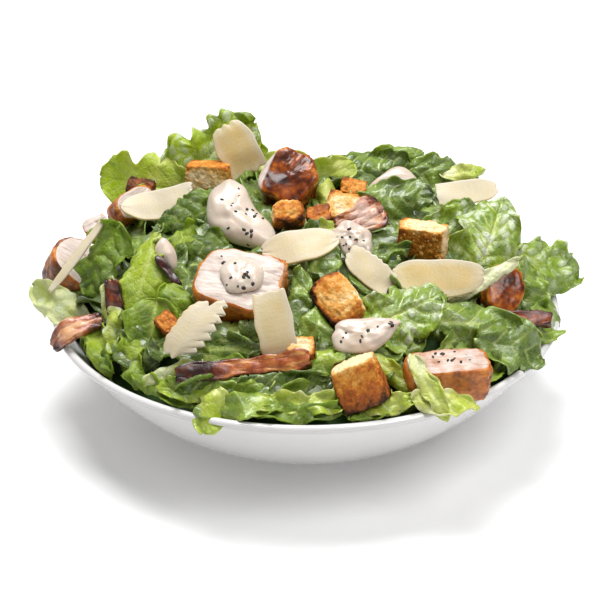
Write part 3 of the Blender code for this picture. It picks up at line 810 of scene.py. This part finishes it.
shavingThick = 1.2
parmesanDefaults = dict(comb=0, hook=0, arch=0)
parmesan = {
    "parmesan_left": lay((-78, 33, 37), (262, 52), 10, (38, 17), bend=30, tips=(0.05, 0.3), hook=7,
        gold=0.2),
    "parmesan_top": lay((-37, 66, 55), (262, 24), 303, (29, 22), bend=-30, tips=(0.6, 0.85), gold=0.9,
        arch=0.6),
    "parmesan_center": lay((-3, -27, 44), (262, 55), 16, (38, 18), bend=-38, tips=(0.2, 0.2), gold=0.4,
        arch=-2),
    "parmesan_front_left": lay((-53.5, -86.5, 26), (262, 40), 240, (30, 17), bend=-25, tips=(0.5, 0.5),
        gold=0.25, comb=0.5),
    "parmesan_front": lay((-14.5, -88.5, 31), (268, 26), 282, (30, 17.5), bend=-30, tips=(0.85, 0.95),
        gold=0.6),
    "parmesan_right": lay((64, -46, 36), (272, 40), 358, (44, 19), bend=-22, tips=(0.22, 0.28), gold=0.9,
        arch=-2),
    "parmesan_upper_right": lay((87, 64, 32), (272, 48), 6, (33, 14), bend=-20, tips=(0.9, 0.3),
        gold=0.25, arch=-1),
    "parmesan_middle_right": lay((31, -46, 38), (258, 48), 326, (28, 14), bend=-22, tips=(0.5, 0.85),
        gold=0.4, comb=0.14),
    "parmesan_edge_left": lay((-115, -12, 29), (262, 40), 239, (44, 4.5), bend=12, tips=(0.5, 0.3),
        gold=0.2),
}


def parmesanMaterial():
    material, tree, _ = newMaterial("parmesanCheese")
    local = readLayer(tree, "grain", "Vector")
    stretch = put(tree, "Mapping", {"Vector": local, "Scale": (1.0, 0.2, 1.0)}).outputs[0]
    line = put(tree, "TexNoise", {"Vector": stretch, "Scale": 650.0, "Detail": 4.0}).outputs[0]
    gold = math2(tree, "ADD", readLayer(tree, "gold"), mottle(tree, local, 120, -0.15, 0.15))
    color = rampColors(tree, gold, [(0.0, (0.86, 0.78, 0.63)), (0.5, (0.85, 0.73, 0.46)),
                                    (1.0, (0.82, 0.63, 0.28))])
    normal = bump(tree, math2(tree, "ADD", line, grain(tree, local, 800, 0.2)), 0.25, 0.0006)
    solid = principled(tree, color, mottle(tree, local, 300, 0.35, 0.5), normal)
    through = put(tree, "BsdfTranslucent", {"Color": color, "Normal": normal}).outputs[0]
    endMaterial(tree, put(tree, "MixShader", {0: 0.3, 1: solid, 2: through}).outputs[0])
    return material


def makeParmesan(node, spec, seed, material):
    comb = spec["comb"]

    def shape(s, side, length, width):
        bank = np.sign(side) * 40
        x, y = length * s, width * side / 2
        tip = np.where(s < 0, *spec["tips"])
        half = 0.5 * (tip + (1 - tip) * np.maximum(1 - np.abs(2 * s) ** 2.2, 0) ** 0.6)
        half *= 1 + 0.04 * softNoise(x + bank, bank, 11, seed)
        teeth = np.abs((x / 4.3 + 0.35 * softNoise(x, x * 0, 12, seed)) % 1 - 0.5) * 2 - 0.5
        half *= 1 + comb * np.abs(side) * teeth * np.where(side > 0, 1, 0.15)
        ripple = 0.6 * np.sin(5 * s + seed) * side + 0.25 * softNoise(x, y, 14, seed + 20)
        stretch = (0.7 + 2 * comb) * softNoise(y, s * 0, 5, seed + 30) * np.abs(2 * s) ** 3
        stretch -= comb * 1.4 * np.maximum(y, 0)
        slide = spec["hook"] * np.maximum(2 * s, 0) ** 2 + spec["arch"] * (1 - 4 * s * s)
        gold = spec["gold"] * (1 - 0.9 * smooth(0.5, 1, np.abs(side)))
        gold *= 1 - 0.6 * smooth(0.6, 1, np.abs(2 * s))
        gold += 0.5 * smooth(-0.75, -0.95, side)
        return half, ripple, stretch, slide, dict(gold=gold)

    return makeStrip(node, spec, (1, 1), shavingThick, shape, ["gold"], material)


parmesanCheese = parmesanMaterial()
for seed, (node, given) in enumerate(parmesan.items()):
    makeParmesan(node, dict(parmesanDefaults, **given), seed + 1, parmesanCheese)
print("parmesan shaved")


# dressing: flecks are places of pepper on each spoonful, as shares of its half-size

dressingDefaults = dict(bend=0, smear=0, taper=0, flecks=())
dressing = {
    "dressing_top": lay((-33, 8, 42), (255, 58), 312, (46, 27, 13), bend=-8, smear=0.22,
        flecks=[(-0.54, 0.58), (-0.31, 0.53), (-0.41, -0.15), (-0.12, 0.1), (0.05, 0.13), (0.16, 0.7),
        (0.2, 0.4), (0.35, 0.56), (0.45, 0.76), (0.65, -0.23), (0.66, -0.04), (0.8, -0.5), (0.3, -0.49),
        (-0.18, 0.19), (0.28, 0.73), (0.75, -0.2), (0.55, -0.16), (0.1, 0.55)]),
    "dressing_upper_right": lay((49, 54, 37), (268, 50), 356, (31, 16, 12), bend=10, flecks=[(0.19, -0.7),
        (0.04, -0.6), (0.4, -0.28), (-0.3, -0.2)]),
    "dressing_middle": lay((23, -23, 42), (262, 55), 318, (24, 17, 7), bend=4, smear=0.5,
        flecks=[(-0.35, -0.52), (-0.12, -0.24), (0.32, -0.61), (0.28, -0.8), (0.01, -0.72), (0.19, -0.16),
        (-0.05, -0.85), (-0.4, 0.1), (0.4, 0.2)]),
    "dressing_on_chicken": lay((-31, -57, 40.5), (262, 62), 10, (22, 20, 6.5), smear=0.25,
        flecks=[(-0.41, -0.34), (0.22, -0.18), (0.35, -0.36), (0.13, -0.34), (-0.61, -0.6), (-0.12, -0.8),
        (0.52, -0.7), (0.1, -0.85), (0.32, -0.08), (0.27, -0.28), (-0.2, 0.5)]),
    "dressing_low": lay((28, -85, 25), (265, 50), 14, (35, 16, 6), bend=-4, taper=0.4, smear=0.5,
        flecks=[(0.7, 0.23), (0.71, -0.03), (0.32, 0.25), (-0.53, 0.2), (-0.14, -0.18), (-0.71, -0.42),
        (-0.63, -0.14), (0.05, 0.14), (-0.21, -0.42), (0.66, 0.12)]),
    "dressing_left": lay((-69, -25, 36), (268, 30), 285, (17, 10, 7)),
}


def makeDressing(node, spec, seed, material):
    length, width, thick = spec["size"]
    smear = spec["smear"]
    bm = bmesh.new()
    newLayers(bm, [])
    bmesh.ops.create_uvsphere(bm, u_segments=64, v_segments=36, radius=1)
    points = []
    for v in bm.verts:
        x, y, z = v.co
        angle = math.atan2(y, x)
        spread = 1 + 0.08 * math.sin(2 * angle + seed) + 0.05 * math.sin(3 * angle + 2 * seed)
        swell = 1 + 0.12 * noise.noise(Vector((x, y, z)) * 1.6 + Vector((seed * 7, 0, 0)))
        ragged = noise.noise(Vector((math.cos(angle) * 1.8, math.sin(angle) * 1.8, seed)))
        spread *= 1 + 0.025 * math.sin(5 * angle + seed * 3) + 0.4 * smear * ragged
        swell *= 1 + smear * noise.fractal(Vector((x * 2.4, y * 1.6, seed)), 1.0, 2.0, 2)
        across = y * spread * (1 - spec["taper"] * x) * width / 2
        p = Vector((x * spread * length / 2, across + spec["bend"] * (0.5 - x * x),
                    z * thick * (0.62 if z > 0 else 0.38) * swell))
        points.append(p)
    points = np.array(points)
    writePoints(bm.verts, points)
    bmesh.ops.recalc_face_normals(bm, faces=bm.faces)
    return finishTopping(node, bm, spec, points, points, {}, thick * 0.4, material)


pepper = dict(seed=31, size=(0.75, 1.55), thick=0.4, above=30)


def makePepper(pieces):
    # flat flecks dropped on to the pieces at their marked places
    rng = random.Random(pepper["seed"])
    bm = bmesh.new()
    for piece, spec in pieces:
        if not spec["flecks"]:
            continue
        skin = BVHTree.FromPolygons([v.co for v in piece.data.vertices],
                                    [tuple(p.vertices) for p in piece.data.polygons])
        world = placeOn(spec)
        length, width, thick = spec["size"]
        for u, w in spec["flecks"]:
            arch = spec.get("bend", 0) * (0.5 - u * u)
            start = world @ (Vector((u * length / 2, w * width / 2 + arch, pepper["above"])) * mm)
            down = -world.to_3x3().col[2]
            spot, normal, _, _ = skin.ray_cast(start, down)
            if spot is None:
                continue
            made = bmesh.ops.create_icosphere(bm, subdivisions=1, radius=1)
            size = rng.uniform(*pepper["size"])
            for v in made["verts"]:
                v.co *= rng.uniform(0.7, 1.2)
            aim = normal.to_track_quat("Z", "Y").to_matrix().to_4x4()
            spin = Matrix.Rotation(rng.uniform(0, math.tau), 4, "Z")
            shape = Matrix.Diagonal((size * mm, size * rng.uniform(0.5, 0.9) * mm, pepper["thick"] * mm, 1))
            matrix = Matrix.Translation(spot) @ aim @ spin @ shape
            bmesh.ops.transform(bm, verts=made["verts"], matrix=matrix)
    cracked = plainMaterial("crackedPepper", 700, (0.010, 0.008, 0.007), (0.075, 0.045, 0.028),
                            (900, 0.5, 0.75), (2500, 0.5, 0.6, 0.0002))
    finishPiece("pepperFlecks", bm, cracked)


creamyDressing = plainMaterial("creamyDressing", 70, (0.61, 0.505, 0.41), (0.71, 0.605, 0.505),
                               (120, 0.24, 0.4), (160, 0.1, 0.12, 0.0008), Coat_Weight=0.25,
                               Coat_Roughness=0.16, Subsurface_Weight=0.4, Subsurface_Scale=0.004)
for seed, (node, given) in enumerate(dressing.items()):
    spec = dict(dressingDefaults, **given)
    peppered.append((makeDressing(node, spec, seed + 1, creamyDressing), spec))
makePepper(peppered)
print("dressing spooned, pepper ground")


# lettuce

# milk is the pale colour of a painted highlight laid over the green
leafLook = dict(
    colors=[(0.0, (0.026, 0.056, 0.003)), (0.2, (0.080, 0.160, 0.005)), (0.42, (0.225, 0.360, 0.010)),
            (0.7, (0.480, 0.610, 0.020)), (0.88, (0.720, 0.760, 0.160)), (1.0, (0.880, 0.870, 0.560))],
    vein=(0.66, 0.74, 0.26), milk=(0.74, 0.81, 0.58), cell=0.95, thick=0.6, veinSpace=8.5, netSize=6.2)


def leafMaterial(name, specular, coat, glow):
    material, tree, place = newMaterial(name)
    tone = math2(tree, "ADD", readLayer(tree, "tone"), mottle(tree, place, 130, -0.06, 0.06))
    green = rampColors(tree, tone, leafLook["colors"])
    net = put(tree, "TexVoronoi", {"Vector": place, "Scale": 330.0}, feature="DISTANCE_TO_EDGE")
    thin = put(tree, "MapRange", {"Value": net.outputs["Distance"], "From Min": 0.0, "From Max": 0.12,
                                  "To Min": 0.22, "To Max": 0.0}).outputs[0]
    vein = math2(tree, "MAXIMUM", thin, math2(tree, "MULTIPLY", readLayer(tree, "vein"), 0.7))
    color = blendColors(tree, vein, green, (*leafLook["vein"], 1))
    # painted sheen: pale grey-green patches between the veins stand in for a broad highlight on the waxy
    # leaf
    paintedSheenShare = math2(tree, "SUBTRACT", readLayer(tree, "milk"), thin)
    color = blendColors(tree, paintedSheenShare, color, (*leafLook["milk"], 1))
    lines = math2(tree, "MULTIPLY", net.outputs["Distance"], 2.0)
    pucker = mottle(tree, place, 300, 0, 0.6)
    height = math2(tree, "ADD", math2(tree, "MINIMUM", lines, 0.5), grain(tree, place, 900, 0.3))
    height = math2(tree, "ADD", height, math2(tree, "SUBTRACT", pucker, readLayer(tree, "vein")))
    normal = bump(tree, height, 0.52, 0.0006)
    leaf = principled(tree, color, mottle(tree, place, 210, 0.34, 0.5), normal, Specular_IOR_Level=specular,
                      Coat_Weight=coat, Coat_Roughness=0.21)
    shine = blendColors(tree, 0.5, color, (0.60, 0.78, 0.03, 1))
    through = put(tree, "BsdfTranslucent", {"Color": shine, "Normal": normal}).outputs[0]
    mixed = put(tree, "MixShader", {0: glow, 1: leaf, 2: through}).outputs[0]
    endMaterial(tree, mixed)
    return material


oiledLeaf = leafMaterial("oiledRomaine", 0.4, 0.9, 0.22)
tenderLeaf = leafMaterial("tenderRomaine", 0.3, 0.28, 0.42)

leafDefaults = dict(cup=-20, bend=-20, wave=3, tone=0.35, savoy=0.5, rib=0, frill=1.8, fold=2.8, roll=2.8,
                    tears=3, fade=0.08, milk=0.12, over=False)

leavesLeft = [
    lay((-88, 74, 31), (264, 26), 172, (50, 42), cup=15, bend=-25, wave=2, tone=0.78, savoy=0.1, fold=1.2,
        tears=1),
    lay((-52, 84, 45), (266, 28), 38, (58, 46), cup=20, wave=4, tone=0.66, savoy=1, milk=1.1, rib=2.6,
        frill=4, tears=11),
    lay((-27, 85, 44), (280, 25), 105, (38, 15), cup=20, wave=1, tone=0.56, milk=0.4),
    lay((12, 72, 37), (275, 45), 25, (32, 22), cup=20, tone=0.84, savoy=0.3),
    lay((-55, 18, 38), (258, 48), 200, (46, 32), wave=4, tone=0.26, savoy=1, milk=0.25),
    lay((-52, -9, 33), (262, 50), 190, (38, 24), tone=0.2, savoy=0.9),
    lay((-102, -13, 28), (242, 36), 262, (40, 28), cup=-25, wave=4, tone=0.36, savoy=1.2),
    lay((-80, -42, 28), (260, 48), 264, (60, 26), cup=-35, bend=-35, wave=2, tone=0.64, savoy=0.2, rib=1),
    lay((-74, -64, 14), (262, 42), 268, (32, 30), cup=20, bend=-15, tone=0.36, savoy=0.2, rib=1.6),
    lay((-62, -58, 25), (262, 45), 300, (26, 20), tone=0.45, savoy=0.9),
    lay((-62, -3, 36), (262, 50), 60, (18, 14), tone=0.55, savoy=0.8, frill=2.5),
    lay((-94, -54, 17), (256, 46), 284, (38, 14), cup=-40, wave=2, tone=0.9, savoy=1, milk=0.7,
        over=True),
    lay((-83, -76, 6), (240, 50), 305, (32, 17), cup=-30, tone=0.5),
    lay((-99, -63, 4), (232, 58), 320, (34, 15), cup=20, bend=-15, tone=0.55, savoy=0.3),
    lay((-62, -94, 9), (255, 48), 28, (28, 11), tone=0.95, savoy=0.4, milk=0.4, over=True),
    lay((-126, 2, 6), (236, 46), 250, (32, 26), bend=-15, wave=2, tone=0.66, savoy=0.7, frill=2.5),
    lay((-124, -23, 7), (244, 46), 340, (44, 22), cup=-25, wave=1, tone=1.0, savoy=0.3, rib=3, fade=0,
        milk=0.55, over=True),
    lay((-105, 22, 26), (250, 45), 20, (20, 14), tone=0.4, savoy=0.8),
    lay((-34, 58, 44), (268, 48), 250, (18, 12), tone=0.28, savoy=0.2),
    lay((-12, 80, 40), (270, 44), 8, (28, 22), tone=0.8, savoy=0.3),
    lay((12, 38, 40), (268, 48), 100, (26, 16), tone=0.88, savoy=0.3),
    lay((9, 3, 37), (264, 48), 12, (22, 11), tone=0.82, savoy=0.3),
]
leavesFront = [
    lay((-34, -93, 10), (266, 40), 340, (30, 14), tone=0.4, savoy=0.4),
    # this leaf's very dark tone is painted shade under the bacon
    lay((-24, -105, 7), (270, 34), 4, (72, 17), cup=25, bend=-10, wave=3.5, tone=0.16, savoy=0.2,
        frill=1.5),
    lay((12, -97, 16), (270, 42), 15, (28, 16), cup=-30, tone=0.45, savoy=0.2),
    lay((-39, -106, 5), (266, 42), 356, (64, 16), cup=20, tone=0.48, milk=0.2, savoy=0.4, frill=2.5),
    lay((-30, -119, 5), (264, 46), 188, (42, 15), bend=-25, wave=2, tone=0.44, savoy=0.2),
    lay((-43, -119, 3), (262, 38), 258, (22, 20), bend=-30, wave=2, tone=0.74, savoy=0.3, over=True),
    lay((0, -115, 4), (270, 44), 2, (56, 13), cup=20, tone=0.76, frill=2.5),
    lay((34, -115, 3), (272, 50), 10, (34, 12), cup=20, bend=-10, wave=2, tone=0.78, frill=2.2),
    lay((56, -113, 12), (268, 36), 300, (36, 13), cup=-40, wave=1, tone=0.84, savoy=0.3, rib=2,
        over=True),
    lay((64, -115, 5), (284, 62), 345, (32, 14), bend=-30, wave=1, tone=0.86, savoy=0.4, frill=2),
    lay((41, -101, 12), (268, 48), 320, (28, 13), cup=-40, bend=-15, wave=1, tone=0.6, savoy=0.2,
        rib=1.5),
    lay((7, -82, 22), (270, 42), 282, (28, 24), cup=-30, tone=0.32),
    lay((-4, -60, 27), (270, 38), 265, (36, 16), cup=-25, tone=0.3, savoy=0.7),
    lay((5, -33, 36), (264, 48), 70, (32, 26), tone=0.34, savoy=0.8, rib=1.4, milk=0.3),
    lay((33, -50, 32), (265, 45), 330, (30, 16), tone=0.24, savoy=0.4),
]
leavesRight = [
    lay((43, -71, 26.5), (264, 52), 32, (50, 38), cup=-15, tone=0.42, savoy=0.6, rib=1.2, milk=0.75),
    lay((76, -66, 20), (280, 42), 350, (50, 32), cup=-50, bend=-15, tone=0.32, savoy=0.2, rib=1.6,
        milk=0.25),
    lay((98, -70, 9), (298, 46), 330, (36, 30), cup=20, tone=0.24, savoy=0.2),
    lay((93, 0, 31), (284, 44), 62, (54, 42), bend=-25, tone=0.48, rib=1.5, milk=0.9),
    lay((87, -40, 29.5), (276, 42), 28, (42, 10), cup=-30, wave=1, tone=1.08, savoy=0.1, fold=1,
        over=True),
    lay((125, 4, 17), (310, 48), 320, (38, 32), cup=-15, bend=-30, wave=4, tone=0.42, savoy=1, milk=0.55),
    lay((114, -26, 14), (302, 30), 268, (40, 20), cup=-30, wave=2, tone=0.32),
    lay((42, -26, 38), (270, 50), 20, (20, 12), tone=0.25, savoy=0.3),
    lay((46, 31, 42), (266, 42), 12, (42, 32), cup=-35, bend=-35, tone=0.24, savoy=0.4, over=True),
    lay((80, 16, 35), (276, 44), 16, (46, 26), cup=20, wave=4, tone=0.42, savoy=0.6, milk=0.75),
    lay((50, 92, 40), (272, 34), 8, (32, 18), cup=-30, bend=-30, wave=2, tone=0.44, savoy=0.1),
    lay((36, 82, 37), (270, 38), 4, (46, 26), bend=-25, wave=4, tone=0.26, savoy=1),
    lay((86, 80, 36), (274, 42), 8, (26, 12), tone=0.86, savoy=0.2),
    lay((75, 78, 33), (282, 40), 340, (38, 30), bend=-25, wave=4, tone=0.28, savoy=1),
    lay((121, -31, 5), (346, 46), 0, (48, 22), bend=-30, wave=2, tone=0.34, savoy=0.3, over=True),
]
leavesBack = [
    lay((94, 54, 20), (36, 50), 80, (44, 36), bend=-30, tone=0.4),
    lay((66, 98, 21), (62, 40), 100, (46, 36), bend=-30, wave=4, tone=0.3, savoy=0.9),
    lay((24, 108, 22), (82, 42), 75, (46, 36), bend=-30, wave=4, tone=0.45, rib=2),
    lay((-20, 106, 20), (98, 46), 110, (46, 36), bend=-30, wave=4, tone=0.34, savoy=0.8),
    lay((-62, 100, 22), (118, 40), 84, (46, 36), bend=-30, wave=4, tone=0.42, rib=2),
    lay((-100, 66, 18), (145, 40), 100, (44, 34), bend=-30, wave=4, tone=0.5, savoy=0.4),
    lay((-112, 28, 8), (170, 42), 8, (42, 24), wave=4, tone=0.4, savoy=0.6),
    lay((112, 30, 9), (14, 42), 176, (44, 24), wave=4, tone=0.34, savoy=0.6),
    lay((-2, 110, 11), (90, 40), 8, (44, 24), wave=4, tone=0.34, savoy=0.7),
    lay((42, 105, 11), (68, 42), 172, (40, 24), wave=4, tone=0.42, savoy=0.4),
    lay((-44, 106, 10), (112, 44), 4, (40, 24), wave=4, tone=0.3, savoy=0.8),
    lay((-84, 82, 11), (134, 42), 176, (40, 24), wave=4, tone=0.44, savoy=0.6),
    lay((86, 78, 11), (42, 42), 8, (40, 24), wave=4, tone=0.3, savoy=0.8),
]
rimRuffles = dict(count=15, radius=119, size=(40, 11), cell=1.2, seed=9)
filler = dict(count=96, reach=112, length=(28, 44), width=(20, 30), tone=(0.02, 0.32), tilt=22, cell=1.9,
              seed=4, turn=2.399963, edgeFrom=88, edgeNarrow=0.75)


def shapeLeaf(bm, leaf, index, cell):
    spec = dict(leafDefaults, **leaf)
    length, width = spec["size"]
    made = bmesh.ops.create_grid(bm, x_segments=max(int(length / cell), 8),
                                 y_segments=max(int(width / cell), 6), size=0.5)
    verts = made["verts"]
    flatPoints = readPoints(verts)
    s, side = flatPoints[:, 0], flatPoints[:, 1] * 2
    t = s + 0.5
    edge = np.abs(side)
    bank = np.sign(side) * 60

    def hills(x, y, size, number):
        return softNoise(x, y, size, index * 7 + number)

    # torn outline: rounded ends, uneven sides
    half = width * 0.5 * (0.5 + 0.5 * np.sin(np.pi * t ** 0.9))
    half *= np.maximum(1 - np.abs(2 * s) ** 8, 0.001) ** 0.4 * 0.94 + 0.06
    x = length * t
    half *= 1 + 0.12 * hills(x + bank, bank, 17, 1) + 0.05 * hills(x + bank, bank, 6, 2)
    half *= 1 + 0.03 * hills(x + bank, bank, 3.2, 9)
    rng = random.Random(index * 11 + 5)
    for _ in range(spec["tears"]):
        spot = rng.uniform(0.1, 0.95) * length
        wide, deep, hand = rng.uniform(1.2, 3.5), rng.uniform(0.12, 0.34), rng.choice((-1, 1))
        half *= 1 - deep * np.exp(-((x - spot) / wide) ** 2) * (side * hand > 0)
    s = s * (1 + 0.07 * hills(side * width / 2, bank * 0, 9, 3) * edge ** 0.5)
    y = half * side
    cup = math.radians(spec["cup"])
    center, lift = bentSpine(s, length, math.radians(spec["bend"]))
    # the same cup and wave as the solid leaf, then the finer forms
    rise = np.abs(y) * math.sin(abs(cup) * 0.5) * (1 if cup > 0 else -1)
    rise += spec["wave"] * side ** 2 * np.sin(8 * s + 2.1 * index + 1.3 * side)
    rise += spec["frill"] * edge ** 3 * hills(x + bank, y * 0.4, 8, 4) * 1.3
    rise += spec["fold"] * (0.6 - np.abs(hills(x * 0.8, y, 22, 5)) * 1.5) * (0.45 + 0.55 * edge)
    rise += spec["roll"] * smooth(0.62, 1.0, edge) * hills(x + bank, bank, 24, 10)
    # side veins at an even spacing, a net between them, and the rib
    drift = 1.6 * hills(x, y, 16, 6)
    rank = (x - 0.85 * np.abs(y) + drift) / leafLook["veinSpace"]
    fromVein = np.abs(rank - np.round(rank)) * leafLook["veinSpace"]
    sideVein = np.exp(-(fromVein / 0.65) ** 2) * smooth(1.0, 0.6, edge)
    lines = cellLines(x + drift, y, leafLook["netSize"], index * 13.7)
    netVein = np.exp(-(lines / 0.6) ** 2)
    rise += spec["savoy"] * (0.65 * smooth(0, 2.6, lines) + 1.1 * smooth(0, 3.0, fromVein))
    ribWide = max(spec["rib"], 0.6) * (1.25 - 0.9 * t)
    ribShape = np.exp(-(y / ribWide) ** 2) * smooth(1.0, 0.75, t)
    rise -= ribShape * (0.5 + 0.35 * spec["rib"])
    flat = y * (1 - np.abs(cup * side) * 0.3)
    points = center + np.stack([s * 0, flat, s * 0], 1) + lift * rise[:, None]
    points = toWorld(points, spec)
    writePoints(verts, points if spec["over"] else stayInBowl(slipUnder(points)))
    # colour: paler at the base, the edges and the rib, with patches of painted sheen between the veins
    tone = spec["tone"] + spec["fade"] * (0.5 - t) * 2 + 0.07 * hills(x, y, 13, 8)
    tone += (0.42 if spec["rib"] else 0.12) * ribShape * (1 - spec["tone"]) + 0.1 * smooth(0.8, 1, edge)
    tone -= 0.05 * smooth(1.2, 3, lines) * spec["savoy"]
    writeLayer(bm, verts, "tone", tone)
    netShare = 0.4 * (1 - min(1.4 * spec["milk"], 0.9))
    vein = np.maximum(0.95 * sideVein, np.maximum(netShare * netVein, 0.9 * ribShape * (spec["rib"] > 0)))
    writeLayer(bm, verts, "vein", vein)
    milk = spec["milk"] * np.clip(0.6 + 1.2 * hills(x, y, 13, 11), 0, 1.5)
    writeLayer(bm, verts, "milk", milk * smooth(0.3, 2.0, lines) * smooth(0.2, 1.4, fromVein))


def makeLeaves(name, leaves, first, cell, material):
    bm = bmesh.new()
    newLayers(bm, ["tone", "vein", "milk"])
    for k, leaf in enumerate(leaves):
        shapeLeaf(bm, leaf, first + k, cell)
    finishPiece(name, bm, material, ["lettuce"], leafLook["thick"])


def fillerLeaves():
    # loose leaves under the named ones, all over the heap; their dark tones are partly painted shade for
    # the gaps
    rng = random.Random(filler["seed"])
    leaves = []
    for k in range(filler["count"]):
        r = filler["reach"] * math.sqrt((k + 0.5) / filler["count"])
        angle = k * filler["turn"]
        x, y = r * math.cos(angle), r * math.sin(angle)
        outward = max(r / heap["reach"], 0.05) ** 3 * 1.1
        normal = Vector((math.cos(angle) * outward, math.sin(angle) * outward - 0.08, 1)).normalized()
        azimuth = math.degrees(math.atan2(normal.y, normal.x)) + rng.uniform(-25, 25)
        elevation = math.degrees(math.asin(normal.z)) + rng.uniform(-filler["tilt"], filler["tilt"] * 0.3)
        length = rng.uniform(*filler["length"])
        width = rng.uniform(*filler["width"])
        spin = rng.uniform(0, 360)
        if r > filler["edgeFrom"]:
            spin = rng.choice((0, 180)) + rng.uniform(-18, 18)
            width *= filler["edgeNarrow"]
        leaves.append(lay((x, y, heapHeight(x, y) - rng.uniform(1.5, 4)), (azimuth, elevation), spin,
                          (length, width), cup=rng.uniform(-30, 25), bend=rng.uniform(-30, 5),
                          wave=rng.uniform(2, 5), tone=rng.uniform(*filler["tone"]),
                          savoy=rng.uniform(0.2, 1), rib=rng.choice((0, 0, 1.4)), frill=2, fold=2.6))
    return leaves


def ruffleLeaves():
    # low frilled edges that lie along the rim, palest at the front
    rng = random.Random(rimRuffles["seed"])
    leaves = []
    for k in range(rimRuffles["count"]):
        azimuth = 360 * k / rimRuffles["count"] + rng.uniform(-5, 5)
        front = 0.5 - 0.5 * math.sin(math.radians(azimuth))
        radius = rimRuffles["radius"]
        x, y = radius * math.cos(math.radians(azimuth)), radius * math.sin(math.radians(azimuth))
        leaves.append(lay((x, y, rng.uniform(0.5, 2.5)), (azimuth, rng.uniform(46, 60)), rng.uniform(-8, 8),
                          rimRuffles["size"], cup=20, bend=-10, wave=1.5,
                          tone=0.18 + 0.35 * front * rng.uniform(0.5, 1), savoy=0.4, frill=2.4, fold=2,
                          tears=4))
    return leaves


core = dict(reach=121, under=6, edgeDrop=4, crumple=5, foldSize=16, waist=62, flat=71,
            floor=(10, 26), turnIn=0.9)


def makeCore():
    # crumpled heart in near-black green, painted shade that the gaps between leaves look into
    bm = bmesh.new()
    bmesh.ops.create_uvsphere(bm, u_segments=120, v_segments=60, radius=1)
    for v in bm.verts:
        angle = math.atan2(v.co.y, v.co.x)
        reach = math.hypot(v.co.x, v.co.y)
        if v.co.z >= 0:
            radius = core["reach"] * math.sin(min(reach, 1) * math.pi / 2) ** 1.1
            x, y = radius * math.cos(angle), radius * math.sin(angle)
            out = radius / core["reach"]
            fold = noise.fractal(Vector((x, y, 3)) / core["foldSize"], 1.0, 2.0, 4)
            z = heapHeight(x, y) * (1 - out ** 10) - core["under"] - core["edgeDrop"] * out ** 6
            z += core["crumple"] * fold
        else:
            depth = -v.co.z
            radius = core["reach"] - core["waist"] * depth ** 2
            if depth > core["turnIn"]:
                radius = core["flat"] * (1 - depth) / (1 - core["turnIn"])
            x, y = radius * math.cos(angle), radius * math.sin(angle)
            high, drop = core["floor"]
            z = -high - drop * min(depth / core["turnIn"], 1)
        v.co = Vector((x, y, rimHeight + z)) * mm
    writePoints(bm.verts, stayInBowl(readPoints(bm.verts)))
    bmesh.ops.remove_doubles(bm, verts=bm.verts, dist=0.00001)
    bmesh.ops.recalc_face_normals(bm, faces=bm.faces)
    shade = plainMaterial("paintedShadeLettuce", 60, (0.010, 0.026, 0.005), (0.035, 0.085, 0.012), (90, 0.5, 0.7),
                          (400, 0.4, 0.5, 0.001), Specular_IOR_Level=0.2)
    finishPiece("paintedShadeCore", bm, shade, ["lettuce"])


# the numbers keep each group's leaves unlike the others'
makeLeaves("leavesLeft", leavesLeft, 0, leafLook["cell"], tenderLeaf)
makeLeaves("leavesFront", leavesFront, 30, leafLook["cell"], oiledLeaf)
makeLeaves("leavesRight", leavesRight, 60, leafLook["cell"], oiledLeaf)
makeLeaves("leavesBack", leavesBack, 90, leafLook["cell"], oiledLeaf)
print("named leaves laid")
makeLeaves("leavesUnder", fillerLeaves(), 120, filler["cell"], oiledLeaf)
makeLeaves("rimRuffles", ruffleLeaves(), 230, rimRuffles["cell"], tenderLeaf)
makeCore()
print("lettuce filled in")
